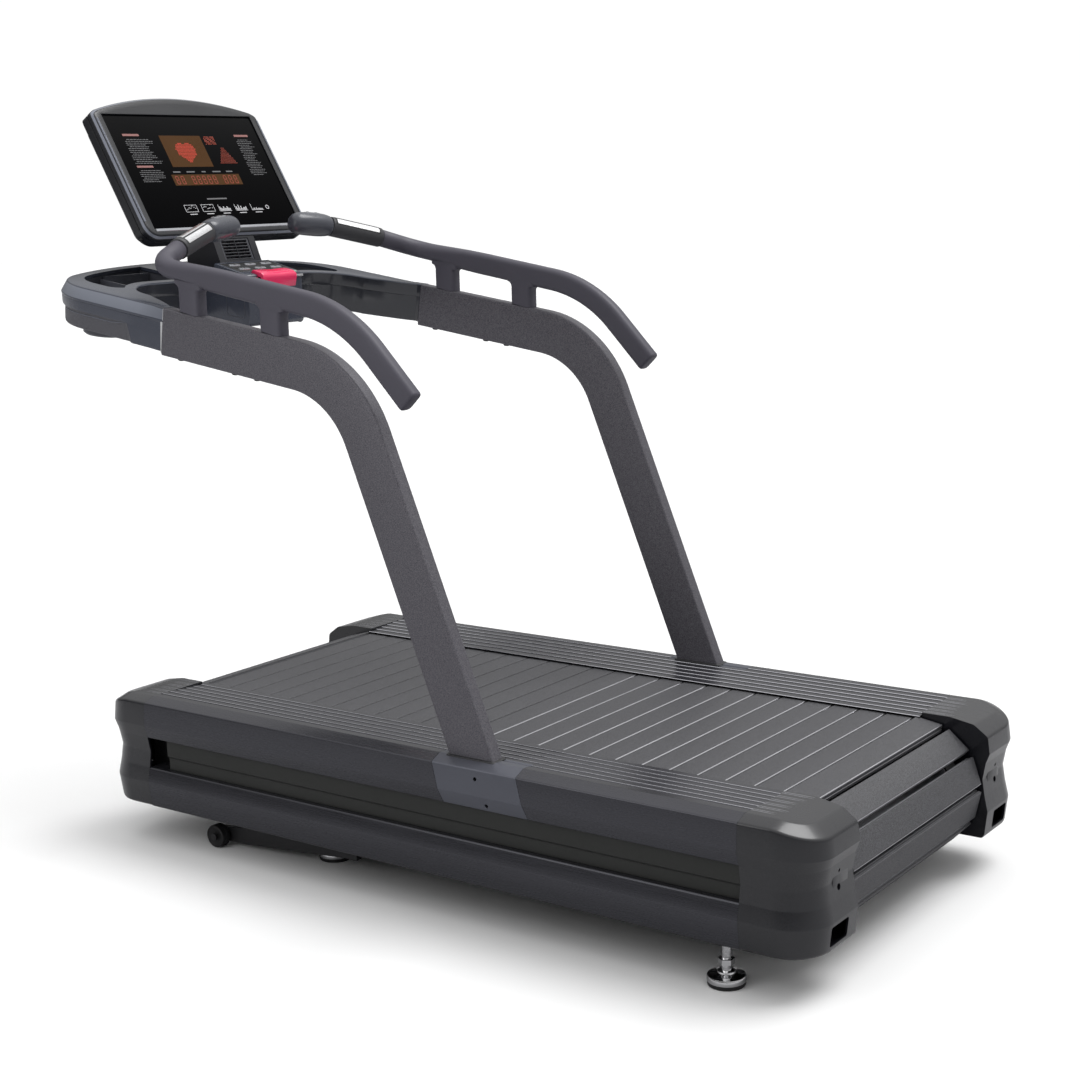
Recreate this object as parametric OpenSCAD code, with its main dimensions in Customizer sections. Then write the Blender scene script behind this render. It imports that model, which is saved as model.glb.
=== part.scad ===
// Slat belt treadmill with console, handrails and a lifting front end.
// x = 0 is the middle of the belt, +y points to the console, z = 0 is the floor.
// The modules measure y from the rear end of the base; place() moves it to the middle.

/* [Whole machine] */
// Length over everything, rear end of the base to the front of the console
overall_length = 1974; // [1900:1:2100]
// Length of the base, end cap to end cap
base_length = 1747; // [1600:1:1900]
// Height of the running surface above the floor
belt_top = 315; // [250:1:340]

/* [Slat belt] */
// Distance from one slat to the next
slat_pitch = 60; // [50:1:70]
// Number of slats in the closed belt
slat_count = 60; // [50:1:70]
// Width of a slat across the machine
slat_width = 564; // [480:1:600]
// Length of a slat along the belt
slat_length = 57; // [50:1:66]
// Height of the aluminium slat
slat_height = 14.8; // [10:0.1:20]
// Thickness of the rubber tread on each slat
tread_height = 3.5; // [2:0.5:6]
// Distance between the two drum axles
axle_distance = 1453; // [1300:1:1600]
// Distance of the rear axle from the rear end of the base
rear_axle_y = 147; // [130:1:180]
// Diameter of the drum axles
axle_d = 30; // [20:1:40]

/* [Side rails] */
// Length of an end cap along the base
cap_length = 145; // [100:1:180]
// Corner radius of an end cap seen from above
cap_radius = 85; // [60:1:100]
// Half width of the base at its widest line
half_width = 464; // [430:1:480]
// Wall of the extruded rails
rail_wall = 4; // [3:0.5:6]
// Wall of the moulded end caps
cap_wall = 5; // [3:0.5:6]

/* [Uprights] */
// Outer face of the uprights from the middle plane
upright_out = 431; // [400:1:450]
// Thickness of an upright across the machine
upright_t = 32; // [25:1:50]
// Depth of an upright along the machine
upright_w = 98; // [80:1:120]
// Lean of the leg from the vertical
leg_lean = 21.7; // [10:0.1:30]
// Rise of the arm from the horizontal
arm_rise = 8.8; // [0:0.1:15]
// Bend radius of the upright's middle line
bend_r = 220; // [150:1:300]
// Where the leg and arm middle lines cross, from the rear end
bend_y = 1020; // [900:1:1100]
// Height at which the leg and arm middle lines cross
bend_z = 1037.4; // [900:0.1:1150]
// Where the arm ends and the console shell begins
seam_y = 1504; // [1400:1:1600]

/* [Handrails] */
// Thickness of a handrail across the machine
rail_t = 33; // [28:1:45]
// Height of a handrail's section
rail_h = 49; // [35:1:60]
// Rise of the handrail from the horizontal
rail_rise = 9.93; // [0:0.1:15]
// Fall of the handrail's tail below the horizontal
tail_fall = 46.4; // [30:0.1:60]
// Bend radius of the handrail before its tail
tail_r = 310; // [200:1:400]
// Diameter of the round front part
grip_tube_d = 40; // [30:1:50]

/* [Console] */
// Height of the console's upper shell
shell_top = 27; // [20:1:40]
// Full height of the console's shells
shell_full = 90; // [70:1:110]
// Radius of the console's front outline
front_r = 826; // [600:1:1000]
// Radius of the console's front corners
corner_r = 170; // [100:1:200]
// Radius of the bottle well
cup_r = 46; // [36:0.5:48]
// Bottle well's middle, out from the console's middle
cup_x = 308; // [300:1:310]
// Bottle well's middle, forward from the seam
cup_y = 290; // [286:1:296]
// Tilt of the display from the vertical
display_tilt = 30.4; // [10:0.1:45]
// Radius of the display's arched top
arch_r = 860; // [600:10:1400]
// Top of the arch above the display's middle
arch_top = 194; // [175:0.5:200]
// Width of the display glass
glass_w = 462; // [400:1:520]
// Height of the display glass
glass_h = 291; // [240:1:340]

/* [Drive and lift] */
// Radius of the pulley on the front drum
drum_pulley_r = 85; // [60:1:95]
// Radius of the motor pulley
motor_pulley_r = 35; // [20:1:50]
// Distance of the motor axle behind the front axle
motor_back = 200; // [180:1:300]
// Length of the lift lever from its pivot
lever_l = 90; // [60:1:110]
// Tilt of the lift lever behind the vertical at rest
lever_tilt = 15; // [5:1:25]
// Radius of a transport wheel
wheel_r = 25; // [20:1:35]

/* [Hidden] */
$fn = 64;
pi = 3.14159265;
belt_r = (slat_pitch * slat_count - 2 * axle_distance) / (2 * pi);
band_t = 4;
stack = belt_r + band_t / 2 + 0.2 + slat_height + tread_height;
axle_z = belt_top - stack;
front_axle_y = rear_axle_y + axle_distance;
half_turn = pi * belt_r;
first_slat = 42;
run_gap = 0.05;
rail_y0 = cap_length;
rail_y1 = base_length - cap_length;
beam_x0 = 348.7;
beam_x1 = 398.7;
beam_z0 = 115;
beam_z1 = 253;
leg_dir = [sin(leg_lean), cos(leg_lean)];
arm_dir = [cos(arm_rise), sin(arm_rise)];
arm_turn = 90 - leg_lean - arm_rise;
arm_tan = bend_r * tan(arm_turn / 2);
deck_slope = tan(arm_rise);
tray_y = 1509;
tray_z = 1163;
// The lower shell's front edge is the machine's front end.
tray_front = (overall_length - tray_y - shell_full * sin(arm_rise)) / cos(arm_rise) + 3;
rail_py = 1363;
rail_pz = 1218;
tail_cy = 1018.4;
tail_cz = 1157.7;
tail_len = 226;
motor_y = front_axle_y - motor_back;
pivot_y = 1101;
pivot_z = 62;
fan_up = -7;
lap = 1.5;
slim = 0.02;
wheel_y = 1469;
rear_foot = [418, 192];
front_foot = [310, 1205];
elbow_b = [415, 1523, 1246];
elbow_c = [324, 1555, 1275];
elbow_d = [194, 1600, 1307];
elbow_e = [92, 1620, 1318];
cross_y = [280, 600, 1185, motor_y - 110];
foot_stem_r = 9;

// ---------- helpers ----------

module place() {
    translate([0, -overall_length / 2, 0]) children();
}

module both_sides() {
    children();
    mirror([1, 0, 0]) children();
}

module left_side() {
    mirror([1, 0, 0]) children();
}

// A section drawn in x and z, run along y from y0 to y1.
module along_y(y0, y1) {
    translate([0, y1, 0]) rotate([90, 0, 0]) linear_extrude(y1 - y0) children();
}

// A profile drawn in y and z, run along x from x0 to x1.
module along_x(x0, x1) {
    translate([x0, 0, 0]) rotate([90, 0, 90]) linear_extrude(x1 - x0) children();
}

module rod_x(x0, x1, y, z, r) {
    translate([x0, y, z]) rotate([0, 90, 0]) cylinder(h = x1 - x0, r = r);
}

// A round bar between two points.
module bar(a, b, r1, r2) {
    d = b - a;
    l = norm(d);
    translate(a)
        rotate([0, acos(d[2] / l), atan2(d[1], d[0])])
            cylinder(h = l, r1 = r1, r2 = r2);
}

// ---------- slat belt ----------

// Moves children to the place of slat number i on the closed belt.
module on_belt(i) {
    s = first_slat + i * slat_pitch;
    l = axle_distance;
    if (s <= l) {
        translate([0, rear_axle_y + s, axle_z]) children();
    } else if (s <= l + half_turn) {
        translate([0, front_axle_y, axle_z])
            rotate([-(s - l) / belt_r * 180 / pi, 0, 0]) children();
    } else if (s <= 2 * l + half_turn) {
        translate([0, front_axle_y - (s - l - half_turn), axle_z])
            rotate([180, 0, 0]) children();
    } else {
        translate([0, rear_axle_y, axle_z])
            rotate([-180 - (s - 2 * l - half_turn) / belt_r * 180 / pi, 0, 0]) children();
    }
}

module slats() {
    color([0.42, 0.43, 0.45])
        for (i = [0 : slat_count - 1])
            on_belt(i)
                translate([-slat_width / 2, -slat_length / 2, belt_r + band_t / 2 + 0.2])
                    cube([slat_width, slat_length, slat_height]);
}

module slat_treads() {
    color([0.13, 0.13, 0.15])
        for (i = [0 : slat_count - 1])
            on_belt(i)
                translate([
                    -slat_width / 2, -slat_length / 2,
                    belt_r + band_t / 2 + 0.2 + slat_height
                ])
                    cube([slat_width, slat_length, tread_height]);
}

module loop_2d(r) {
    translate([rear_axle_y, axle_z]) circle(r = r, $fn = 96);
    translate([front_axle_y, axle_z]) circle(r = r, $fn = 96);
    translate([rear_axle_y, axle_z - r]) square([axle_distance, 2 * r]);
}

module belt_bands() {
    color([0.06, 0.06, 0.06])
        both_sides()
            along_x(200, 240)
                difference() {
                    loop_2d(belt_r + band_t / 2);
                    loop_2d(belt_r - band_t / 2);
                }
}

// ---------- drums and drive ----------

module drum(y) {
    disc_r = belt_r - band_t / 2 - 0.4;
    rod_x(-346, 346, y, axle_z, axle_d / 2);
    rod_x(-198, 198, y, axle_z, 36);
    both_sides() {
        rod_x(198, 242, y, axle_z, disc_r);
        rod_x(242, 270, y, axle_z, 30);
    }
}

module front_drum() {
    color([0.5, 0.51, 0.53]) {
        drum(front_axle_y);
        rod_x(293, 315, front_axle_y, axle_z, drum_pulley_r);
        rod_x(269, 294, front_axle_y, axle_z, 30);
    }
}

module rear_drum() {
    color([0.5, 0.51, 0.53]) drum(rear_axle_y);
}

module bearing(y) {
    difference() {
        translate([320, y - 35, axle_z - 35]) cube([beam_x0 - 320, 70, 70]);
        rod_x(319, 350, y, axle_z, axle_d / 2 + run_gap);
    }
}

module bearings() {
    color([0.3, 0.31, 0.32])
        both_sides() {
            bearing(rear_axle_y);
            bearing(front_axle_y);
        }
}

module drive_motor() {
    color([0.2, 0.2, 0.22])
        difference() {
            union() {
                rod_x(-115, 130, motor_y, axle_z, 64);
                rod_x(130, 150, motor_y, axle_z, 30);
                translate([-90, motor_y - 90, axle_z - 34]) cube([180, 60, 64]);
            }
            rod_x(110, 151, motor_y, axle_z, 10 + run_gap);
        }
}

module motor_pulley() {
    color([0.55, 0.56, 0.58]) {
        rod_x(115, 315, motor_y, axle_z, 10);
        rod_x(293, 315, motor_y, axle_z, motor_pulley_r);
    }
}

module drive_loop_2d(g) {
    hull() {
        translate([front_axle_y, axle_z]) circle(r = drum_pulley_r + g, $fn = 48);
        translate([motor_y, axle_z]) circle(r = motor_pulley_r + g, $fn = 48);
    }
}

module drive_belt() {
    color([0.05, 0.05, 0.05])
        along_x(294, 314)
            difference() {
                drive_loop_2d(4);
                drive_loop_2d(0.5);
            }
}

// ---------- base frame ----------

module beam() {
    difference() {
        translate([beam_x0, 100, beam_z0])
            cube([beam_x1 - beam_x0, base_length - 200, beam_z1 - beam_z0]);
        translate([beam_x0 + 4, 99, beam_z0 + 4])
            cube([beam_x1 - beam_x0 - 8, base_length - 198, beam_z1 - beam_z0 - 8]);
    }
}

// Plate inside a beam that carries a front foot.
module foot_bracket() {
    difference() {
        translate([288, front_foot[1] - 22, beam_z0 + 1]) cube([beam_x0 - 285, 44, 18]);
        translate([front_foot[0], front_foot[1], beam_z0])
            cylinder(h = 20, r = foot_stem_r + run_gap);
    }
}

// One pair of ears that carry the lift frame's pivot tube.
module pivot_ears() {
    for (x = [352, 384]) {
        difference() {
            translate([x, pivot_y - 28, 44]) cube([8, 56, beam_z0 - 44]);
            rod_x(x - 1, x + 9, pivot_y, pivot_z, 10 + run_gap);
        }
    }
}

module cross_tube(y) {
    difference() {
        translate([-beam_x0, y - 20, axle_z - 34]) cube([2 * beam_x0, 40, 64]);
        translate([-beam_x0 - 1, y - 17, axle_z - 31]) cube([2 * beam_x0 + 2, 34, 58]);
    }
}

module base_frame() {
    color([0.12, 0.12, 0.13]) {
        both_sides() {
            beam();
            pivot_ears();
            foot_bracket();
        }
        for (y = cross_y) cross_tube(y);
    }
}

module guide_rails() {
    top = axle_z + belt_r - band_t / 2 - 0.4;
    color([0.75, 0.75, 0.72])
        both_sides() {
            translate([198, rear_axle_y + 62, top - 16])
                cube([44, axle_distance - 124, 16]);
            for (y = cross_y)
                translate([205, y - 16, axle_z + 30])
                    cube([30, 32, top - 16 - axle_z - 30]);
        }
}

// ---------- side rails ----------

function tread_z(x) = 320.5 + 0.049 * (x - 277);

// The tread's top line with its grooves, from the belt outwards.
function tread_line() = [
    for (g = [298 : 22 : 408])
        for (p = [[-3, 0], [-2, -1.8], [2, -1.8], [3, 0]])
            [g + p[0], tread_z(g + p[0]) + p[1]]
];

module rail_2d() {
    w = rail_wall;
    polygon(concat(
        [[277, 318.4], [277, tread_z(277)]],
        tread_line(),
        [
            [430, 328], [460, 318], [half_width, 268], [456, 240], [440, 240],
            [440, 240 + w], [453, 240 + w], [459.8, 268.5], [456.3, 315.2],
            [429.4, 328 - w], [396, tread_z(396) - w], [396, beam_z1], [392, beam_z1],
            [392, tread_z(392) - w], [356, tread_z(356) - w], [356, beam_z1],
            [352, beam_z1], [352, tread_z(352) - w]
        ]
    ));
}

// The space a foot cover fills, grown by g.
module cover_window(g) {
    along_x(397 - g, 470)
        polygon([
            [618.5 - g, 340], [584 - g, 225], [782 + g, 225], [816.5 + g, 340]
        ]);
}

module side_rail() {
    difference() {
        along_y(rail_y0, rail_y1) rail_2d();
        cover_window(0.6);
    }
}

module side_rail_left() {
    color([0.30, 0.31, 0.34]) left_side() side_rail();
}

module side_rail_right() {
    color([0.30, 0.31, 0.34]) side_rail();
}

module foot_covers() {
    color([0.36, 0.37, 0.40])
        both_sides()
            difference() {
                intersection() {
                    along_y(rail_y0, rail_y1) rail_2d();
                    cover_window(0);
                }
                upright_bar(upright_w + 1.2, upright_t + 1.2, 0);
                rod_x(440, 480, 706, 305, 4);
                rod_x(440, 480, 682, 250, 4);
            }
}

module lower_rail() {
    difference() {
        along_y(rail_y0, rail_y1)
            difference() {
                polygon([
                    [beam_x1, 85], [455, 85], [462, 141], [455, 173], [beam_x1, 173]
                ]);
                polygon([
                    [beam_x1 + 4, 89], [451.5, 89], [457.9, 141], [451.8, 169],
                    [beam_x1 + 4, 169]
                ]);
            }
        translate([rear_foot[0], rear_foot[1], 84]) cylinder(h = 6, r = foot_stem_r + run_gap);
        upright_bar(upright_w + 1.2, upright_t + 1.2, 0);
    }
}

module lower_rail_left() {
    color([0.26, 0.27, 0.30]) left_side() lower_rail();
}

module lower_rail_right() {
    color([0.26, 0.27, 0.30]) lower_rail();
}

module side_panels() {
    color([0.14, 0.15, 0.15])
        both_sides()
            along_y(rail_y0 + 1, rail_y1 - 50)
                polygon([
                    [440, 173.2], [443, 173.2], [443, 199], [448, 204], [448, 239.8],
                    [445, 239.8], [445, 205.2], [440, 200.2]
                ]);
}

// ---------- end caps ----------

function cap_outer() = [
    [0, 85], [76, 85], [83, 141], [76, 173], [71, 207], [77, 240], [85, 268],
    [81, 318], [51, 328], [0, 325.5]
];

function cap_inner() = [
    [0, 84], [70.6, 84], [77.8, 141], [70.9, 173], [65.8, 207], [71.9, 240],
    [79.9, 268], [76.3, 314.3], [50.2, 322.9], [0, 320.5]
];

// The solid inside a cap outline; d is how far its inner side wall is set in.
module cap_body(pts, d, over) {
    x0 = half_width - cap_radius;
    xi = 287 + d;
    top = pts[len(pts) - 1][1];
    bottom = pts[0][1];
    translate([x0, 0, 0]) along_y(cap_radius, cap_length + over) polygon(pts);
    translate([x0, cap_radius, 0])
        rotate([0, 0, -90]) rotate_extrude(angle = 90) polygon(pts);
    translate([0, cap_radius, 0]) mirror([0, 1, 0]) along_x(xi, x0) polygon(pts);
    translate([xi, cap_radius, bottom])
        cube([x0 - xi, cap_length - cap_radius + over, top - bottom]);
}

module end_cap() {
    difference() {
        cap_body(cap_outer(), 0, 0);
        cap_body(cap_inner(), cap_wall, 1);
        translate([280, 110, 84]) cube([20, 40, 160]);
        // Opening near the lower rear edge.
        translate([322, -1, 96]) cube([64, 36, 40]);
        // Seat of the small hatch.
        translate([306, 5, 176]) cube([62, 20, 62]);
    }
}

module rear_cap_left() {
    color([0.24, 0.25, 0.29]) left_side() end_cap();
}

module rear_cap_right() {
    color([0.24, 0.25, 0.29]) end_cap();
}

module front_cap_place() {
    translate([0, base_length, 0]) mirror([0, 1, 0]) children();
}

module front_cap_left() {
    color([0.24, 0.25, 0.29]) left_side() front_cap_place() end_cap();
}

module front_cap_right() {
    color([0.24, 0.25, 0.29]) front_cap_place() end_cap();
}

module cap_hatches() {
    color([0.22, 0.23, 0.26])
        both_sides()
            for (m = [0, 1])
                translate([0, m * base_length, 0]) mirror([0, m, 0])
                    difference() {
                        translate([306.4, 14.2, 176.4]) cube([61.2, 4, 61.2]);
                        translate([344, 10, 193])
                            rotate([-90, 0, 0]) cylinder(h = 12, r = 6);
                        translate([344, 10, 223])
                            rotate([-90, 0, 0]) cylinder(h = 12, r = 3.5);
                    }
}

module power_inlet() {
    color([0.05, 0.05, 0.05])
        difference() {
            union() {
                translate([336, base_length - 64, 100]) cube([36, 26, 32]);
                translate([350, base_length - 100, 116]) cube([12, 37, 14]);
            }
            translate([340, base_length - 56, 104]) cube([28, 19, 24]);
        }
}

// ---------- uprights ----------

// The bent bar of an upright: leg, bend and arm, of depth w and thickness t.
// over lengthens it past its lower end. The straight pieces run into the bend
// and are slimmer by slim, so that no two faces coincide.
module upright_bar(w, t, over) {
    xc = upright_out - upright_t / 2;
    leg_low = (bend_z - 130) / cos(leg_lean) + over;
    arm_len = (seam_y - bend_y) / cos(arm_rise);
    wi = w - 2 * slim;
    ti = t - 2 * slim;
    translate([xc - t / 2, bend_y, bend_z]) {
        rotate([-leg_lean, 0, 0])
            translate([slim, -wi / 2, -leg_low]) cube([ti, wi, leg_low - arm_tan + lap]);
        rotate([arm_rise, 0, 0])
            translate([slim, arm_tan - lap, -wi / 2]) cube([ti, arm_len - arm_tan + lap, wi]);
        // Bend: its middle lies in front of the corner.
        translate([
            0,
            bend_r * cos(leg_lean) - arm_tan * sin(leg_lean),
            -bend_r * sin(leg_lean) - arm_tan * cos(leg_lean)
        ])
            rotate([90, 0, 90])
                rotate([0, 0, 90 + arm_rise])
                    rotate_extrude(angle = arm_turn, $fn = 128)
                        translate([bend_r - w / 2, 0]) square([w, t]);
    }
}

module upright() {
    difference() {
        upright_bar(upright_w, upright_t, 0);
        upright_bar(upright_w - 7, upright_t - 7, 1);
    }
}

module upright_left() {
    color([0.25, 0.25, 0.28]) left_side() upright();
}

module upright_right() {
    color([0.25, 0.25, 0.28]) upright();
}

// ---------- handrails ----------

function arm_top(y) = bend_z + deck_slope * (y - bend_y) + upright_w / 2 / cos(arm_rise);
function rail_low(y) = rail_pz + tan(rail_rise) * (y - rail_py)
    - rail_h / 2 / cos(rail_rise);

elbow_u = [0, cos(rail_rise), sin(rail_rise)];
elbow_v = (elbow_c - elbow_b) / norm(elbow_c - elbow_b);
elbow_turn = acos(elbow_u * elbow_v);
elbow_r = 75;
elbow_tan = elbow_r * tan(elbow_turn / 2);
elbow_m = (elbow_v - (elbow_u * elbow_v) * elbow_u) / sin(elbow_turn);
elbow_start = elbow_b - elbow_tan * elbow_u;
elbow_mid = elbow_start + elbow_r * elbow_m;

// Puts children in the frame with x along e1, y along e2.
module in_frame(o, e1, e2) {
    e3 = cross(e1, e2);
    multmatrix([
        [e1[0], e2[0], e3[0], o[0]],
        [e1[1], e2[1], e3[1], o[1]],
        [e1[2], e2[2], e3[2], o[2]]
    ]) children();
}

module handrail() {
    xc = 415;
    bend = tail_fall - rail_rise;
    tan_l = tail_r * tan(bend / 2);
    front_l = (elbow_start[1] - tail_cy) / cos(rail_rise) - tan_l;
    hi = rail_h - 2 * slim;
    ti = rail_t - 2 * slim;
    translate([xc - rail_t / 2, tail_cy, tail_cz]) {
        rotate([rail_rise, 0, 0])
            translate([slim, tan_l - lap, -hi / 2]) cube([ti, front_l + 2 * lap, hi]);
        rotate([tail_fall, 0, 0])
            translate([slim, -tail_len, -hi / 2]) cube([ti, tail_len - tan_l + lap, hi]);
        translate([
            0,
            tail_r * sin(rail_rise) + tan_l * cos(rail_rise),
            -tail_r * cos(rail_rise) + tan_l * sin(rail_rise)
        ])
            rotate([90, 0, 90])
                rotate([0, 0, 90 + rail_rise])
                    rotate_extrude(angle = bend, $fn = 128)
                        translate([tail_r - rail_h / 2, 0]) square([rail_h, rail_t]);
    }
    // Two posts down to the arm.
    along_x(xc - rail_t / 2 + 0.5, xc + rail_t / 2 - 0.5)
        for (y = [1175, 1398])
            polygon([
                [y, arm_top(y)], [y + 56, arm_top(y + 56)],
                [y + 56, rail_low(y + 56) + 3], [y, rail_low(y) + 3]
            ]);
    // Bend towards the console and the straight piece to the grip.
    in_frame(elbow_mid, -elbow_m, elbow_u)
        rotate_extrude(angle = elbow_turn)
            translate([elbow_r, 0]) circle(d = grip_tube_d);
    bar(
        elbow_b + (elbow_tan - 4 * lap) * elbow_v, elbow_c,
        grip_tube_d / 2 - 0.4, grip_tube_d / 2 - 0.4
    );
}

module handrail_left() {
    color([0.27, 0.26, 0.29]) left_side() handrail();
}

module handrail_right() {
    color([0.27, 0.26, 0.29]) handrail();
}

grip_dir = (elbow_d - elbow_c) / norm(elbow_d - elbow_c);
pod_dir = (elbow_e - elbow_d) / norm(elbow_e - elbow_d);
grip_len = norm(elbow_d - elbow_c);
pod_len = norm(elbow_e - elbow_d);

function upright_of(d) = ([0, 0, 1] - d[2] * d) / norm([0, 0, 1] - d[2] * d);

// Frame at o with z along d, y upwards and x towards the user.
module along_dir(o, d) {
    in_frame(o, cross(upright_of(d), d), upright_of(d)) children();
}

module hand_grip() {
    difference() {
        translate([0, 0, -3]) cylinder(h = grip_len + 9, r = 22.5);
        for (a = [22, 68])
            rotate([0, 0, a])
                translate([0, 0, 12])
                    rotate_extrude(angle = 40)
                        translate([20.6, 0]) square([3, grip_len - 24]);
    }
}

module hand_grips() {
    color([0.14, 0.14, 0.15])
        both_sides()
            difference() {
                along_dir(elbow_c, grip_dir) hand_grip();
                // Mitres to the rail and to the pod.
                along_dir(elbow_c, elbow_v) translate([-40, -40, -60]) cube([80, 80, 60.3]);
                along_dir(elbow_d, pod_dir) translate([-40, -40, 0]) cube([80, 80, 60]);
            }
}

module pulse_plates() {
    color([0.78, 0.78, 0.78])
        both_sides()
            along_dir(elbow_c, grip_dir)
                for (a = [23, 69])
                    rotate([0, 0, a])
                        translate([0, 0, 13])
                            rotate_extrude(angle = 38)
                                translate([20.6, 0]) square([2.2, grip_len - 26]);
}

module remote_pod() {
    difference() {
        union() {
            translate([0, 0, 0.3]) cylinder(h = 20, r1 = 23, r2 = 27);
            translate([0, 0, 20]) cylinder(h = pod_len - 40, r = 27);
            translate([0, 0, pod_len - 20.2]) cylinder(h = 24, r1 = 27, r2 = 14);
        }
        translate([-9.5, 16, 26]) cube([19, 12, 45]);
    }
}

module remote_pods() {
    color([0.20, 0.21, 0.24])
        both_sides() along_dir(elbow_d, pod_dir) remote_pod();
}

// A rocking two-way key that turns on an axis across the pod.
module remote_rocker() {
    color([0.62, 0.63, 0.66])
        along_dir(elbow_d, pod_dir)
            translate([-8.8, 19.5, 27.5]) cube([17.6, 8.5, 42]);
}

module remote_rocker_left() {
    left_side() remote_rocker();
}

module remote_rocker_right() {
    remote_rocker();
}

// ---------- console ----------

// The tray's own frame: its top face is z = 0 and y runs forward along it.
module on_tray() {
    translate([0, tray_y, tray_z]) rotate([arm_rise, 0, 0]) children();
}

// Points on an arc round c from angle a0 to a1 in n steps.
function arc(c, r, a0, a1, n) = [
    for (i = [0 : n]) let (a = a0 + (a1 - a0) * i / n) c + r * [cos(a), sin(a)]
];

// Right half of the console's outline, set in by d, from the scoop round to the front;
// y is counted from the seam. The scoop is the open space for the user's body.
function tray_half(d) = let (
    cy = tray_front - front_r,
    kx = upright_out - corner_r,
    ky = cy + sqrt(pow(front_r - corner_r, 2) - kx * kx),
    turn = atan2(ky - cy, kx)
) concat(
    arc([235, 117], 110 + d, 90, 0, 14),
    [[374 + d, 45], [399 + d, -2], [399 + d, -12], [upright_out - d, -12]],
    arc([kx, ky], corner_r - d, 0, turn, 16),
    [for (i = [1 : 9]) let (a = turn + (90 - turn) * i / 9)
        [(front_r - d) * cos(a), cy + (front_r - d) * sin(a)]]
);

// Outline of the console from above, set in by d.
module tray_2d(d) {
    half = tray_half(d);
    last = len(half) - 1;
    polygon(concat(half, [for (i = [last - 1 : -1 : 0]) [-half[i][0], half[i][1]]]));
}

// Right half of the recess in the console's top, grown by d. It follows the
// scoop on the user's side and the console's front on the other.
function recess_half(d) = let (cy = tray_front - front_r) concat(
    [[100 - d, 252 - d]],
    arc([235, 117], 135 - d, 90, 42, 8),
    arc([336, 233], 26 + d, -84, 0, 6),
    arc([262, 268], 100 + d, 0, 70, 10),
    [for (x = [280, 240, 200, 150, 100 - d]) [x, cy + sqrt(pow(front_r - 38 + d, 2) - x * x)]]
);

module recess_2d(d) {
    both_sides() polygon(recess_half(d));
}

module console_tray() {
    color([0.28, 0.29, 0.33])
        on_tray()
            difference() {
                union() {
                    translate([0, 0, -8]) linear_extrude(8) tray_2d(10);
                    translate([0, 0, -shell_top]) linear_extrude(shell_top - 8) tray_2d(0);
                }
                translate([0, 0, -shell_top - 1]) linear_extrude(shell_top - 7) tray_2d(14);
                translate([0, 0, -40]) linear_extrude(60) recess_2d(0);
            }
}

module console_underside() {
    color([0.22, 0.22, 0.25])
        on_tray()
            difference() {
                translate([0, 0, -shell_full])
                    linear_extrude(shell_full - shell_top) tray_2d(3);
                translate([0, 0, -shell_full + 4])
                    linear_extrude(shell_full - shell_top) tray_2d(7);
                both_sides()
                    translate([cup_x, cup_y, -shell_full - 1]) cylinder(h = 8, r = cup_r + 4.5);
            }
}

module cup_wells() {
    color([0.12, 0.12, 0.13])
        on_tray()
            difference() {
                union() {
                    // Shelf, bottle well and the shallow tray beside it.
                    translate([0, 0, -38]) linear_extrude(29.8) recess_2d(4);
                    both_sides() {
                        translate([cup_x, cup_y, -118]) cylinder(h = 100, r = cup_r + 4);
                        translate([106, 258, -52]) cube([146, 118, 30]);
                    }
                }
                translate([0, 0, -34]) linear_extrude(60) recess_2d(0);
                both_sides() {
                    translate([cup_x, cup_y, -114]) cylinder(h = 120, r = cup_r);
                    translate([110, 262, -48]) cube([138, 110, 60]);
                }
            }
}

// Frame of the control block's top: sloped towards the user.
module on_block() {
    translate([0, 1590, 1207]) rotate([14, 0, 0]) children();
}

module control_block() {
    color([0.25, 0.26, 0.29])
        difference() {
            intersection() {
                along_x(-88, 88)
                    polygon([
                        [1590, 1090], [1752, 1115], [1752, 1250], [1590, 1207]
                    ]);
                on_block() translate([-200, -20, -300]) cube([400, 400, 300]);
            }
            // Hollow.
            along_x(-84, 84)
                polygon([[1594, 1080], [1760, 1080], [1760, 1234], [1594, 1192.6]]);
            // Room for the neck.
            translate([-100, 1692, 1203]) cube([200, 80, 80]);
            // Seat of the keypad panel.
            on_block() translate([-80, 30, -4]) cube([160, 70, 10]);
            // Seat of the stop piece.
            on_block() translate([-56, -10, -9]) cube([112, 34, 20]);
            on_tray_volume(0.3);
        }
}

module on_tray_volume(g) {
    on_tray() translate([0, 0, -shell_full - 4]) linear_extrude(shell_full + 4 + g) tray_2d(-g);
}

function key_x(i) = -50 + 50 * (i % 3);
function key_y(i) = 48 + 32 * floor(i / 3);

module key_hole(i, g, h) {
    translate([key_x(i), key_y(i), 0])
        for (m = [-1, 1]) translate([m * 9, 0, 0]) cylinder(h = h, r = 7 + g, $fn = 48);
    translate([key_x(i) - 9, key_y(i) - 7 - g, 0]) cube([18, 14 + 2 * g, h]);
}

module keypad_panel() {
    color([0.08, 0.08, 0.09])
        on_block()
            difference() {
                translate([-79.8, 30.2, -3.8]) cube([159.6, 69.6, 5]);
                for (i = [0 : 5]) translate([0, 0, -2.2]) key_hole(i, 0.4, 10);
            }
}

module key_cap(i) {
    color([0.72, 0.73, 0.75])
        on_block() translate([0, 0, -0.6]) key_hole(i, 0, 4);
}

module key_1() {
    key_cap(0);
}

module key_2() {
    key_cap(1);
}

module key_3() {
    key_cap(2);
}

module key_4() {
    key_cap(3);
}

module key_5() {
    key_cap(4);
}

module key_6() {
    key_cap(5);
}

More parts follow.
